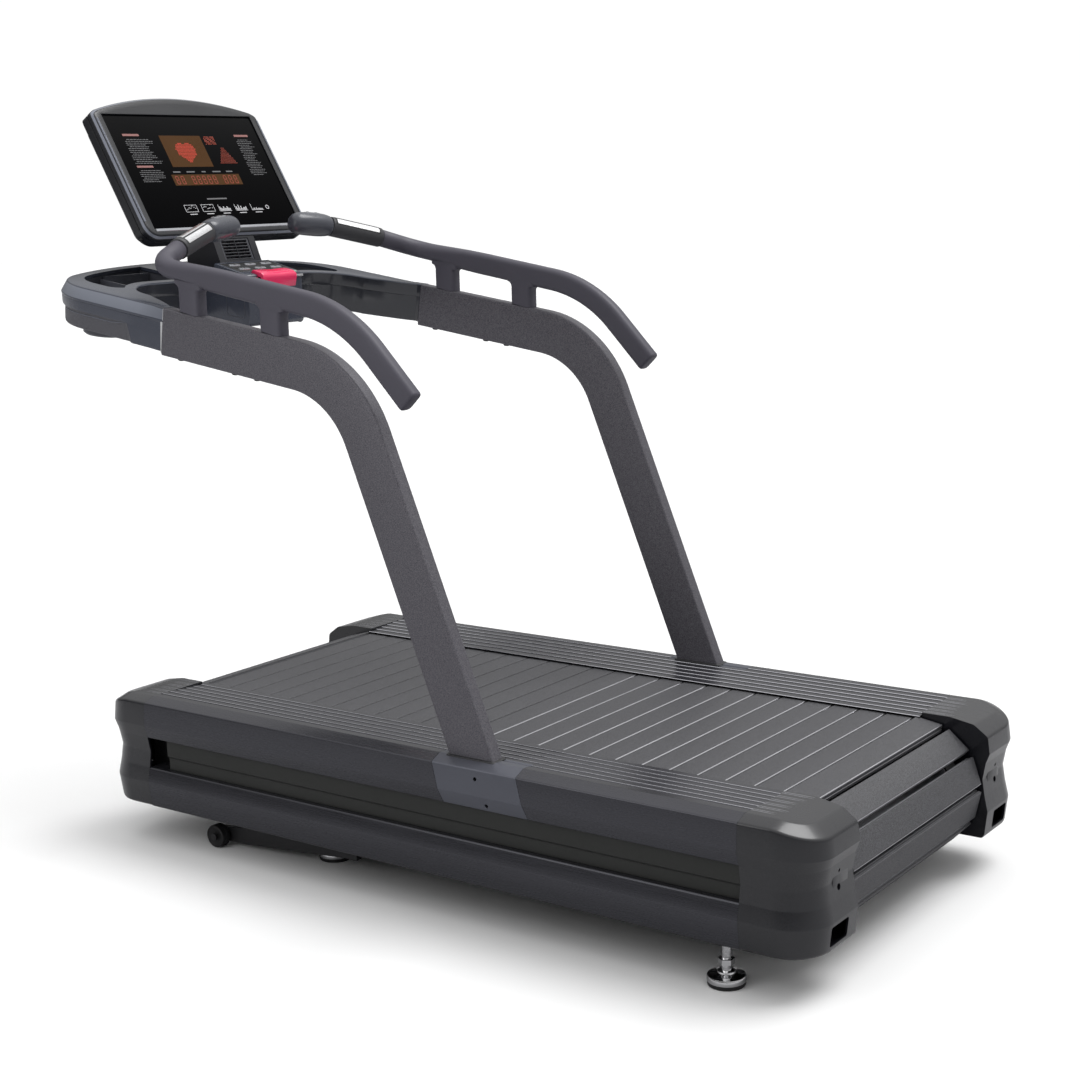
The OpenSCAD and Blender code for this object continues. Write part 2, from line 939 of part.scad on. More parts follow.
module stop_button() {
    color([0.85, 0.12, 0.2])
        on_block()
            union() {
                translate([-54, -8, -3.6]) cube([108, 30, 11.6]);
                difference() {
                    translate([-54, -6, -1.5]) rotate([0, 90, 0]) cylinder(h = 108, r = 10);
                    translate([-60, -8.4, -60]) cube([120, 100, 55.4]);
                }
                translate([-54, -16, -26]) cube([108, 7.4, 25]);
            }
}

module trim_strip() {
    color([0.8, 0.8, 0.8])
        both_sides() translate([58, 1588, 1197]) cube([30, 2, 6]);
}

// ---------- display ----------

module on_display() {
    translate([0, 1799.5, 1439.5]) rotate([90 - display_tilt, 0, 0]) children();
}

// Outline of the display housing, set in by d.
module display_2d(d) {
    hw = 258 - d;
    low = -170 + d;
    r = 34 - d * 0.6;
    intersection() {
        translate([0, arch_top - d - arch_r]) circle(r = arch_r, $fn = 360);
        union() {
            translate([-hw, low + r]) square([2 * hw, 400]);
            translate([-hw + r, low]) square([2 * (hw - r), 60]);
            for (m = [-1, 1]) translate([m * (hw - r), low + r]) circle(r = r);
        }
    }
}

module display_back() {
    color([0.17, 0.18, 0.21])
        on_display()
            difference() {
                union() {
                    translate([0, 0, -38]) linear_extrude(24) display_2d(0);
                    translate([0, 0, -62]) linear_extrude(24) display_2d(26);
                }
                translate([0, 0, -58]) linear_extrude(50) display_2d(30);
                translate([0, 0, -34]) linear_extrude(30) display_2d(5);
            }
}

module display_bezel() {
    color([0.26, 0.28, 0.32])
        on_display()
            difference() {
                union() {
                    translate([0, 0, -14]) linear_extrude(12) display_2d(0);
                    translate([0, 0, -2]) linear_extrude(6) display_2d(7);
                }
                translate([-glass_w / 2 - 0.2, -glass_h / 2 - 0.2, -20])
                    cube([glass_w + 0.4, glass_h + 0.4, 40]);
            }
}

module display_glass() {
    color([0.01, 0.01, 0.015])
        on_display()
            translate([-glass_w / 2, -glass_h / 2, -8]) cube([glass_w, glass_h, 9]);
}

// Frame of the grille: y up along it, z out towards the user.
module on_grille() {
    translate([0, 1708, 1268]) rotate([68, 0, 0]) children();
}

module display_volume() {
    on_display() translate([0, 0, -62]) linear_extrude(70) display_2d(-0.2);
}

module console_neck() {
    color([0.2, 0.2, 0.23])
        difference() {
            along_x(-66, 66)
                polygon([
                    [1692.3, 1203.3], [1800, 1203.3], [1800, 1345], [1739, 1345],
                    [1692.3, 1229.2]
                ]);
            display_volume();
            on_tray_volume(0.3);
            // Fan duct.
            on_grille() translate([0, fan_up, -70]) cylinder(h = 64, r = 26);
            on_grille() translate([-46, -32, -8]) cube([92, 52, 30]);
        }
}

module vent_grille() {
    color([0.07, 0.07, 0.08])
        on_grille()
            difference() {
                translate([-45.8, -31.8, -7.8]) cube([91.6, 51.6, 6]);
                for (i = [0 : 5])
                    translate([-40, -27.5 + i * 7.5, -9]) cube([80, 4.5, 10]);
            }
}

module fan() {
    color([0.3, 0.3, 0.32])
        on_grille()
            translate([0, fan_up, -26]) {
                cylinder(h = 14, r = 9);
                for (i = [0 : 4])
                    rotate([0, 0, i * 72])
                        translate([8, -7, 2]) cube([15, 12, 3]);
            }
}

// ---------- lift, wheels, feet ----------

lever_y = -lever_l * sin(lever_tilt);
lever_z = lever_l * cos(lever_tilt);

module lift_frame() {
    color([0.1, 0.1, 0.11]) {
        both_sides() {
            // Pivot tube and side arm.
            rod_x(300, 394, pivot_y, pivot_z, 10);
            difference() {
                along_x(366, 378)
                    polygon([
                        [pivot_y - 18, pivot_z + 14], [pivot_y + 22, pivot_z + 16],
                        [wheel_y + 16, wheel_r + 14], [wheel_y + 16, wheel_r - 13],
                        [wheel_y - 60, wheel_r - 13], [pivot_y - 18, pivot_z - 22]
                    ]);
                rod_x(360, 380, wheel_y, wheel_r, 5);
            }
            // Wheel pin.
            rod_x(366, 408, wheel_y, wheel_r, 5);
            rod_x(404.6, 408, wheel_y, wheel_r, 8);
        }
        // Cross bar under the belt.
        rod_x(-366, 366, wheel_y - 90, 27, 11);
        // Lever for the lift tube.
        translate([-324, pivot_y, pivot_z]) rotate([lever_tilt, 0, 0])
            translate([0, -12, 0]) cube([10, 24, lever_l + 8]);
        rod_x(-338, -306, pivot_y + lever_y, pivot_z + lever_z, 5);
    }
}

module lift_actuator() {
    az = pivot_z + lever_z;
    color([0.16, 0.16, 0.17])
        difference() {
            union() {
                translate([-343, pivot_y - 330, az - 26]) cube([48, 90, 52]);
                translate([-319, pivot_y - 240, az])
                    rotate([-90, 0, 0]) cylinder(h = 60, r = 17);
                translate([-319, pivot_y - 450, az])
                    rotate([-90, 0, 0]) cylinder(h = 120, r = 24);
                translate([-beam_x0, pivot_y - 310, az - 15]) cube([10, 50, 30]);
            }
            translate([-319, pivot_y - 300, az])
                rotate([-90, 0, 0]) cylinder(h = 200, r = 11 + run_gap);
        }
}

module lift_tube() {
    az = pivot_z + lever_z;
    py = pivot_y + lever_y;
    color([0.7, 0.71, 0.72])
        difference() {
            union() {
                translate([-319, pivot_y - 290, az])
                    rotate([-90, 0, 0]) cylinder(h = 220, r = 11);
                for (x = [-336, -312])
                    translate([x, py - 50, az - 13]) cube([6, 66, 26]);
                translate([-336, py - 50, az - 13]) cube([30, 10, 26]);
            }
            // Slot for the lever's pin.
            rod_x(-340, -300, py, az - 1, 5.5);
            rod_x(-340, -300, py, az + 4, 5.5);
            translate([-340, py - 5.5 + slim, az - 1]) cube([40, 11 - 2 * slim, 5]);
        }
}

module wheel() {
    color([0.05, 0.05, 0.05])
        difference() {
            rod_x(380, 404, wheel_y, wheel_r, wheel_r);
            rod_x(379, 405, wheel_y, wheel_r, 5 + run_gap);
            rod_x(401, 405, wheel_y, wheel_r, 15);
        }
}

module wheel_left() {
    left_side() wheel();
}

module wheel_right() {
    wheel();
}

module foot(x, y, top) {
    color([0.8, 0.8, 0.8])
        translate([x, y, 0]) {
            cylinder(h = 6, r = 34);
            translate([0, 0, 6]) cylinder(h = 12, r = 35);
            translate([0, 0, 18]) cylinder(h = 4, r1 = 35, r2 = 16);
            translate([0, 0, 22]) cylinder(h = top - 22, r = foot_stem_r);
            translate([0, 0, 38]) cylinder(h = 12, r = 15.5, $fn = 6);
        }
}

module foot_rear_left() {
    foot(-rear_foot[0], rear_foot[1], 108);
}

module foot_rear_right() {
    foot(rear_foot[0], rear_foot[1], 108);
}

module foot_front_left() {
    foot(-front_foot[0], front_foot[1], 140);
}

module foot_front_right() {
    foot(front_foot[0], front_foot[1], 140);
}

// ---------- nodes ----------

place() base_frame();
place() guide_rails();
place() side_rail_left();
place() side_rail_right();
place() lower_rail_left();
place() lower_rail_right();
place() side_panels();
place() front_cap_left();
place() front_cap_right();
place() rear_cap_left();
place() rear_cap_right();
place() cap_hatches();
place() upright_left();
place() upright_right();
place() foot_covers();
place() handrail_left();
place() handrail_right();
place() hand_grips();
place() pulse_plates();
place() remote_pods();
place() remote_rocker_left();
place() remote_rocker_right();
place() console_tray();
place() console_underside();
place() cup_wells();
place() control_block();
place() keypad_panel();
place() key_1();
place() key_2();
place() key_3();
place() key_4();
place() key_5();
place() key_6();
place() stop_button();
place() trim_strip();
place() console_neck();
place() vent_grille();
place() fan();
place() display_back();
place() display_bezel();
place() display_glass();
place() slats();
place() slat_treads();
place() belt_bands();
place() front_drum();
place() rear_drum();
place() bearings();
place() drive_motor();
place() motor_pulley();
place() drive_belt();
place() lift_frame();
place() lift_actuator();
place() lift_tube();
place() wheel_left();
place() wheel_right();
place() foot_rear_left();
place() foot_rear_right();
place() foot_front_left();
place() foot_front_right();
place() power_inlet();
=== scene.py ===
import math
import bmesh
import bpy
from mathutils import Matrix, Vector

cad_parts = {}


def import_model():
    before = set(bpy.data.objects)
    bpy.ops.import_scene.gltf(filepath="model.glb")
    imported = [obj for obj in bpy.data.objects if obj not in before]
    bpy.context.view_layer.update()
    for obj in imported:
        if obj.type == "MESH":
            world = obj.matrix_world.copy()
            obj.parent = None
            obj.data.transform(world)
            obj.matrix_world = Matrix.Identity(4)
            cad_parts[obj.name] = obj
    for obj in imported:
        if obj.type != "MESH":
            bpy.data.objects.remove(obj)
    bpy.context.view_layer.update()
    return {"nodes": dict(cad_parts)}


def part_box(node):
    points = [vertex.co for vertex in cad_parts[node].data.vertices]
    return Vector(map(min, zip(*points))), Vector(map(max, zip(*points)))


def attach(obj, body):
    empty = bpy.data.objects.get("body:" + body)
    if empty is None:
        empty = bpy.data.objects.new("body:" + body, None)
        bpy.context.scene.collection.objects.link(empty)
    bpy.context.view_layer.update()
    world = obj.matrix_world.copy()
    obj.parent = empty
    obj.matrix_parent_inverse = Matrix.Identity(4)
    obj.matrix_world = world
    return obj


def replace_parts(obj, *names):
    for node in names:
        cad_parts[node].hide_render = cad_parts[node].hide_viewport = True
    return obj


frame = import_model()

nodes = frame["nodes"]
ROOT = "machine_frame"
SIDES = ((-1, "left"), (1, "right"))
X = Vector((1, 0, 0))
UP = (0, 0, 1)

# Lengths below are in millimetres, with y measured from the rear end of the base.
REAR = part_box("rear_cap_left")[0].y * 1000
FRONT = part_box("front_cap_left")[1].y * 1000 - REAR


def V(x, y, z):
    return Vector((x / 1000, (y + REAR) / 1000, z / 1000))


def link(o):
    bpy.context.scene.collection.objects.link(o)
    return o


def add_node(tree, kind, **inputs):
    """A shader node; an underscore in an input's name stands for a space."""
    n = tree.nodes.new("ShaderNode" + kind)
    for name, value in inputs.items():
        n.inputs[name.replace("_", " ")].default_value = value
    return n


# ---------------- camera, floor, light ----------------

cam_data = bpy.data.cameras.new("camera")
cam_data.sensor_width = 36
cam_data.lens = 62.09
cam = link(bpy.data.objects.new("camera", cam_data))
cam.location = (-3.0865, -2.3467, 1.3889)
side, rise = Vector((0.58229, -0.81258, -0.02543)), Vector((0.16691, 0.08887, 0.98196))
axes = Matrix((side, rise, side.cross(rise))).transposed()
cam.matrix_world = Matrix.LocRotScale(cam.location, axes.to_quaternion(), None)
bpy.context.scene.camera = cam
bpy.context.scene.view_settings.view_transform = "Standard"

floor_mesh = bpy.data.meshes.new("floor")
floor_mesh.from_pydata([(-30, -30, 0), (30, -30, 0), (30, 30, 0), (-30, 30, 0)], [], [(0, 1, 2, 3)])
floor = link(bpy.data.objects.new("floor", floor_mesh))

# Soft light that is strongest from above, while the backdrop itself looks white.
world = bpy.data.worlds.new("studio")
bpy.context.scene.world = world
world.use_nodes = True
sky = world.node_tree
soft = sky.nodes["Background"]
soft.inputs["Color"].default_value = (1, 1, 1, 1)
above = add_node(sky, "VectorMath")
above.operation = "DOT_PRODUCT"
above.inputs[1].default_value = (0.12, -0.12, 0.98)
strength = add_node(sky, "MapRange", From_Min=0.0, From_Max=0.9, To_Min=0.1, To_Max=1.05)
seen = add_node(sky, "Background", Color=(1, 1, 1, 1), Strength=1.02)
either = add_node(sky, "MixShader")
for start, end in (
    (add_node(sky, "TexCoord").outputs["Generated"], above.inputs[0]),
    (above.outputs["Value"], strength.inputs["Value"]),
    (strength.outputs["Result"], soft.inputs["Strength"]),
    (add_node(sky, "LightPath").outputs["Is Camera Ray"], either.inputs[0]),
    (soft.outputs[0], either.inputs[1]),
    (seen.outputs[0], either.inputs[2]),
    (either.outputs[0], sky.nodes["World Output"].inputs["Surface"]),
):
    sky.links.new(start, end)


def studio_light(name, kind, aim, **settings):
    """A studio light that shines along aim."""
    data = bpy.data.lights.new(name, kind)
    for key, value in settings.items():
        setattr(data, key, value)
    o = link(bpy.data.objects.new(name, data))
    o.rotation_mode = "QUATERNION"
    o.rotation_quaternion = aim.to_track_quat("-Z", "Y")
    return o


studio_light("overhead", "SUN", Vector((-0.36, 0.3, -1)), energy=1.7, angle=math.radians(38))
key_at, key_aim = Vector((-2.3, 0.7, 1.5)), Vector((-0.45, 0.1, 0.75))
studio_light("key", "AREA", key_aim - key_at, energy=8, size=1.5).location = key_at


# ---------------- materials ----------------

class Net:
    """Short names for the shader nodes that the materials share."""

    def __init__(self, name):
        self.m = bpy.data.materials.new(name)
        self.m.use_nodes = True
        self.t = self.m.node_tree
        self.bsdf = self.t.nodes["Principled BSDF"]
        self.coord = add_node(self.t, "TexCoord")

    def noise(self, scale, detail=2, stretch=(1, 1, 1), rough=0.5):
        mapping = add_node(self.t, "Mapping", Scale=stretch)
        self.t.links.new(self.coord.outputs["Object"], mapping.inputs["Vector"])
        n = add_node(self.t, "TexNoise", Scale=scale, Detail=detail, Roughness=rough)
        self.t.links.new(mapping.outputs["Vector"], n.inputs["Vector"])
        return n.outputs["Fac"]

    def spread(self, value, low, high, a=0.3, b=0.7):
        r = add_node(self.t, "MapRange", From_Min=a, From_Max=b, To_Min=low, To_Max=high)
        self.t.links.new(value, r.inputs["Value"])
        return r.outputs["Result"]

    def mix(self, fac, a, b):
        x = add_node(self.t, "Mix")
        x.data_type = "RGBA"
        x.inputs["A"].default_value = (*a, 1)
        x.inputs["B"].default_value = (*b, 1)
        self.t.links.new(fac, x.inputs["Factor"])
        return x.outputs["Result"]

    def add(self, a, b, share):
        x = add_node(self.t, "Math")
        x.operation = "MULTIPLY_ADD"
        self.t.links.new(a, x.inputs[0])
        x.inputs[1].default_value = share
        self.t.links.new(b, x.inputs[2])
        return x.outputs[0]

    def color(self, out):
        self.t.links.new(out, self.bsdf.inputs["Base Color"])

    def rough(self, out):
        self.t.links.new(out, self.bsdf.inputs["Roughness"])

    def bump(self, height, strength, distance):
        b = add_node(self.t, "Bump", Strength=strength, Distance=distance)
        self.t.links.new(height, b.inputs["Height"])
        self.t.links.new(b.outputs["Normal"], self.bsdf.inputs["Normal"])

    def set(self, **kw):
        for k, v in kw.items():
            self.bsdf.inputs[k.replace("_", " ")].default_value = v


def shade(c, k):
    return tuple(min(1, x * k) for x in c)


def plastic(name, c, rough=0.45, grain=1500, depth=0.15, size=0.0002,
            coat=0.0, vary=0.12, metal=0.0, spec=0.5):
    """Moulded plastic or paint: fine grain in the bump, soft changes in colour and gloss."""
    n = Net(name)
    big = n.noise(9, 3)
    fine = n.noise(grain, 2)
    n.color(n.mix(n.add(fine, big, 0.6), shade(c, 1 - vary), shade(c, 1 + vary)))
    n.rough(n.spread(n.add(fine, big, 0.5), rough - 0.06, rough + 0.08, 0.4, 1.1))
    n.bump(fine, depth, size)
    n.set(Metallic=metal, Coat_Weight=coat, Coat_Roughness=0.15, Specular_IOR_Level=spec)
    return n.m


def speckled(name, c, bright, rough, metal):
    """Textured paint with fine metal flakes."""
    n = Net(name)
    grain = n.noise(420, 3, rough=0.8)
    fleck = n.noise(800, 1)
    n.color(n.mix(n.spread(n.add(fleck, grain, 0.8), 0, 1, 0.68, 1.12), shade(c, 0.7), bright))
    n.rough(n.spread(grain, rough - 0.1, rough + 0.12))
    n.bump(grain, 0.5, 0.0004)
    n.set(Metallic=metal)
    return n.m


def brushed(name, c, rough=0.34, metal=0.8, axis="y", vary=0.16, coat=0.0):
    """Metal brushed along one axis."""
    n = Net(name)
    long = {"x": (0.01, 1, 1), "y": (1, 0.01, 1), "z": (1, 1, 0.01)}[axis]
    line = n.noise(900, 3, long, 0.7)
    soft = n.noise(30, 2, long)
    n.color(n.mix(n.add(line, soft, 0.6), shade(c, 1 - vary), shade(c, 1 + vary)))
    n.rough(n.spread(line, rough - 0.06, rough + 0.1))
    n.bump(line, 0.06, 0.0001)
    n.set(Metallic=metal, Coat_Weight=coat, Coat_Roughness=0.2)
    return n.m


def glow(name, c, power):
    """Small lit dots behind the glass."""
    n = Net(name)
    n.color(n.mix(n.noise(900, 1), shade(c, 0.8), c))
    n.set(Roughness=0.4, Emission_Color=(*c, 1), Emission_Strength=power)
    return n.m


M = {
    "floor": plastic("floor_paper", (0.93, 0.93, 0.93), 0.7, 300, 0.02, vary=0.005),
    "upright": speckled("upright_paint", (0.0862, 0.0792, 0.0983), (0.2, 0.195, 0.215), 0.42, 0.45),
    "rail": brushed("rail_anodised", (0.0518, 0.0518, 0.0616), 0.27, 0.75, coat=0.4),
    # Bright groove edges of the rails and lines on the caps: a painted highlight.
    "rail_line": brushed("rail_machined", (0.62, 0.62, 0.66), 0.25, 1.0),
    "cap": plastic("cap_plastic", (0.00903, 0.00924, 0.0125), 0.27, 1300, 0.12, 0.0002, coat=0.5, vary=0.08),
    "cover": plastic("cover_paint", (0.115, 0.12, 0.144), 0.33, 1500, 0.08, vary=0.06, metal=0.5),
    "panel": plastic("channel_panel", (0.0218, 0.0228, 0.0208), 0.6, 700, 0.1, vary=0.1),
    "rubber": speckled("tread_rubber", (0.0243, 0.0243, 0.0272), (0.12, 0.12, 0.13), 0.55, 0.0),
    # Bright rear lips of the slat treads: a painted highlight.
    "lip": brushed("slat_lip", (0.55, 0.55, 0.58), 0.3, 1.0, "x"),
    "alloy": brushed("slat_alloy", (0.208, 0.208, 0.221), 0.42, 0.8, "x"),
    "skin": plastic("handrail_skin", (0.0742, 0.0701, 0.0913), 0.5, 1700, 0.3, 0.0002, vary=0.08),
    "grip": plastic("grip_plastic", (0.045, 0.045, 0.0495), 0.5, 1200, 0.3, vary=0.1),
    "black": plastic("black_plastic", (0.012, 0.012, 0.013), 0.45, 1200, 0.15, vary=0.15),
    "steel": brushed("sensor_steel", (0.864, 0.864, 0.876), 0.22, 1.0, "x", 0.08),
    "pod": plastic("pod_plastic", (0.06, 0.064, 0.08), 0.28, 1500, 0.08, coat=0.3, vary=0.06),
    "silver": plastic("silver_plastic", (0.45, 0.46, 0.49), 0.3, 1500, 0.05, coat=0.3, vary=0.05, metal=0.6),
    "console": plastic("console_plastic", (0.0496, 0.0561, 0.0785), 0.27, 1400, 0.1, coat=0.25, vary=0.06),
    "band": plastic("console_band", (0.213, 0.229, 0.276), 0.3, 1400, 0.08, coat=0.3, vary=0.05, metal=0.3),
    "shell": speckled("shell_texture", (0.0638, 0.0629, 0.0731), (0.15, 0.15, 0.17), 0.5, 0.1),
    "well": plastic("well_plastic", (0.072, 0.0744, 0.0888), 0.35, 1200, 0.15, vary=0.1),
    "gloss": plastic("gloss_black", (0.002, 0.002, 0.0024), 0.1, 900, 0.0, vary=0.1, spec=0.03),
    "stop": plastic("stop_red", (0.975, 0.0375, 0.144), 0.25, 900, 0.08, coat=0.5, vary=0.1),
    "chrome": brushed("chrome", (0.78, 0.78, 0.79), 0.1, 1.0, "z", 0.03),
    "frame": plastic("frame_paint", (0.02, 0.02, 0.022), 0.45, 900, 0.2, vary=0.15),
    "drum": brushed("drum_steel", (0.42, 0.42, 0.44), 0.35, 1.0, "x"),
    "tyre": plastic("wheel_rubber", (0.014, 0.014, 0.015), 0.55, 900, 0.2, vary=0.15),
    "guide": plastic("guide_plastic", (0.6, 0.6, 0.56), 0.5, 900, 0.1, vary=0.05),
    "amber": plastic("amber_window", (0.07, 0.027, 0.003), 0.3, 900, 0.02, vary=0.1, spec=0.1),
    "print": plastic("white_print", (0.6, 0.6, 0.62), 0.5, 900, 0.02, vary=0.05),
    "print_dim": plastic("grey_print", (0.132, 0.132, 0.138), 0.5, 900, 0.02, vary=0.05),
    "print_pink": plastic("pink_print", (0.303, 0.121, 0.11), 0.5, 900, 0.02, vary=0.05),
    "gloss_wall": plastic("console_gloss", (0.035, 0.037, 0.045), 0.16, 900, 0.02, coat=0.5, vary=0.08),
    "silver_dim": plastic("recess_trim", (0.12, 0.125, 0.145), 0.25, 1200, 0.05, coat=0.3, vary=0.08),
    "neck": plastic("neck_plastic", (0.0158, 0.0162, 0.021), 0.4, 1300, 0.2, vary=0.1),
    "bezel": plastic("bezel_plastic", (0.0106, 0.0114, 0.0149), 0.32, 1400, 0.12, coat=0.15, vary=0.07),
    "wedge": plastic("seam_filler", (0.6, 0.6, 0.61), 0.4, 900, 0.05, vary=0.04),
    "green": plastic("small_button", (0.35, 0.5, 0.4), 0.3, 900, 0.05, vary=0.1),
    "led": glow("led_red", (0.62, 0.03, 0.004), 0.25),
    "led_dim": glow("led_dim", (0.32, 0.03, 0.004), 0.12),
}
floor_mesh.materials.append(M["floor"])
# The floor throws back less light than it shows to the camera.
paper = M["floor"].node_tree
tone = add_node(paper, "Mix")
tone.data_type = "RGBA"
tone.inputs["A"].default_value = (0.42, 0.42, 0.43, 1)
tone.inputs["B"].default_value = (0.95, 0.95, 0.95, 1)
paper.links.new(add_node(paper, "LightPath").outputs["Is Camera Ray"], tone.inputs["Factor"])
paper.links.new(tone.outputs["Result"], paper.nodes["Principled BSDF"].inputs["Base Color"])


# ---------------- mesh helpers ----------------

def edit_mesh(me, *steps):
    """Runs each step on the mesh as a bmesh."""
    bm = bmesh.new()
    bm.from_mesh(me)
    for step in steps:
        step(bm)
    bm.to_mesh(me)
    bm.free()


def weld(bm):
    bmesh.ops.remove_doubles(bm, verts=bm.verts, dist=1e-6)


def face_outwards(bm):
    bmesh.ops.recalc_face_normals(bm, faces=bm.faces)


def obj(name, verts, faces, mats, body=ROOT, slot=None, stands=(), mat_of=None, smooth=40):
    """A closed mesh piece from points in millimetres."""
    me = bpy.data.meshes.new(name)
    me.from_pydata([V(*v) for v in verts], [], faces)
    for m in mats if isinstance(mats, list) else [mats]:
        me.materials.append(M[m])
    if mat_of:
        for i, p in enumerate(me.polygons):
            p.material_index = mat_of[i]
    edit_mesh(me, weld, face_outwards)
    o = link(bpy.data.objects.new(name, me))
    smooth_by_angle(o, smooth)
    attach(o, body)
    if stands:
        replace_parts(o, *stands)
    return o


def smooth_by_angle(o, deg):
    def mark(bm):
        for e in bm.edges:
            e.smooth = len(e.link_faces) == 2 and e.calc_face_angle(0) < math.radians(deg)

    o.data.polygons.foreach_set("use_smooth", [True] * len(o.data.polygons))
    edit_mesh(o.data, mark)


def bevel(o, width, segments=2, angle=30):
    b = o.modifiers.new("edge", "BEVEL")
    b.width = width / 1000
    b.segments = segments
    b.limit_method = "ANGLE"
    b.angle_limit = math.radians(angle)
    b.harden_normals = True


def loft(rings, closed=True, caps=True):
    """Verts and faces over rings of equal length; closed says that each ring is a loop."""
    n = len(rings[0])
    verts = [p for r in rings for p in r]
    faces = []
    for i in range(len(rings) - 1):
        for j in range(n if closed else n - 1):
            a, b = i * n + j, i * n + (j + 1) % n
            faces.append((a, b, b + n, a + n))
    if caps:
        faces.append(tuple(range(n - 1, -1, -1)))
        faces.append(tuple(range((len(rings) - 1) * n, len(rings) * n)))
    return verts, faces


def rrect(w, h, r, n=6):
    """Rounded rectangle of w by h with corner radius r, n steps a corner."""
    r = min(r, w / 2, h / 2)
    pts = []
    for cx, cy, a0 in ((w / 2 - r, h / 2 - r, 0), (-w / 2 + r, h / 2 - r, 90),
                       (-w / 2 + r, -h / 2 + r, 180), (w / 2 - r, -h / 2 + r, 270)):
        for i in range(n + 1):
            a = math.radians(a0 + 90 * i / n)
            pts.append((cx + r * math.cos(a), cy + r * math.sin(a)))
    return pts


def arc(cx, cy, r, a0, a1, n):
    return [(cx + r * math.cos(math.radians(a0 + (a1 - a0) * i / n)),
             cy + r * math.sin(math.radians(a0 + (a1 - a0) * i / n))) for i in range(n + 1)]


def round_poly(pts, r, n=4, closed=True):
    """A polygon with its corners rounded; r is one radius or one per corner."""
    out = []
    k = len(pts)
    for i, p in enumerate(pts):
        ri = r[i] if isinstance(r, (list, tuple)) else r
        if ri <= 0 or (not closed and i in (0, k - 1)):
            out.append(p)
            continue
        a, b = Vector(pts[i - 1]).to_2d(), Vector(pts[(i + 1) % k]).to_2d()
        q = Vector(p).to_2d()
        u, w = (a - q), (b - q)
        lu, lw = u.length, w.length
        u.normalize(), w.normalize()
        ang = u.angle(w)
        if math.pi - ang < 0.01:
            out.append(p)
            continue
        t = min(ri / math.tan(ang / 2), lu * 0.49, lw * 0.49)
        rr = t * math.tan(ang / 2)
        c = q + (u + w).normalized() * (rr / math.sin(ang / 2))
        s, e = q + u * t, q + w * t
        a0, a1 = math.atan2(s.y - c.y, s.x - c.x), math.atan2(e.y - c.y, e.x - c.x)
        d = (a1 - a0 + math.pi) % (2 * math.pi) - math.pi
        for j in range(n + 1):
            a = a0 + d * j / n
            out.append((c.x + rr * math.cos(a), c.y + rr * math.sin(a)))
    return out


def circle(r, n):
    return arc(0, 0, r, 0, 360, n)[:-1]


def scaled(outline, kx, ky, cx=0, cy=0):
    """The outline scaled about a centre."""
    return [(cx + (x - cx) * kx, cy + (y - cy) * ky) for x, y in outline]


def slab(name, outline, place, z0, z1, edge, mat, **kw):
    """A flat piece between z0 and z1 with rounded edges; its outline runs anticlockwise."""
    def inset(d):
        ring = []
        for i, q in enumerate(outline):
            t = (Vector(outline[(i + 1) % len(outline)]) - Vector(outline[i - 1])).normalized()
            ring.append((q[0] - t.y * d, q[1] + t.x * d))
        return ring

    turns = [(math.sin(a), math.cos(a)) for a in (0, math.pi / 4, math.pi / 2)]
    levels = [(edge * (1 - s), z0 + edge * (1 - c)) for s, c in turns]
    levels += [(edge * (1 - c), z1 - edge * (1 - s)) for s, c in turns]
    return obj(name, *loft([[place(x, y, z) for x, y in inset(d)] for d, z in levels]), mat, **kw)


def here(x, y, z):
    return (x, y, z)


def flipped(place, s):
    """The same placing, on the left where s is -1."""
    def put(*p):
        x, y, z = place(*p)
        return (s * x, y, z)
    return put


def shifted(place, dx, dy):
    return lambda x, y, z: place(dx + x, dy + y, z)


def placed(place, shape):
    return [place(*p) for p in shape[0]], shape[1]


def extrude(place, outline, ends, axis="z"):
    """One outline, in the other two axes, run along an axis from end to end."""
    order = {"x": lambda a, b, t: (t, a, b), "y": lambda a, b, t: (a, t, b), "z": here}[axis]
    return loft([[place(*order(a, b, t)) for a, b in outline] for t in ends])


def hollow_prism(place, outer, inner, ends):
    """A ring-shaped piece between two outlines with as many points each."""
    n = len(outer)
    verts = [place(a, b, t) for t in ends for ring in (outer, inner) for a, b in ring]
    faces = []
    for j in range(n):
        k = (j + 1) % n
        faces += [(j, k, n + k, n + j), (2 * n + j, 3 * n + j, 3 * n + k, 2 * n + k),
                  (j, 2 * n + j, 2 * n + k, k), (n + j, n + k, 3 * n + k, 3 * n + j)]
    return verts, faces


def sweep(stations):
    """A loft through stations of (origin, x axis, y axis, section points)."""
    return loft([[tuple(o + x * p[0] + y * p[1]) for p in section] for o, x, y, section in stations])


def pair(name, verts, faces, mats, **kw):
    """The piece on both sides; stands and body may hold {side}."""
    out = []
    for s, side_name in SIDES:
        k = dict(kw)
        k["stands"] = tuple(n.replace("{side}", side_name) for n in kw.get("stands", ()))
        k["body"] = kw.get("body", ROOT).replace("{side}", side_name)
        out.append(obj(f"{name}_{side_name}", [(s * x, y, z) for x, y, z in verts], faces, mats, **k))
    return out


def dress(node, mat, width, segments=2, angle=30):
    """Keeps a CAD node, with its own material and rounded edges."""
    o = nodes[node]
    o.data.materials.clear()
    o.data.materials.append(M[mat])
    w = o.modifiers.new("weld", "WELD")
    w.merge_threshold = 1e-6
    bevel(o, width, segments, angle)


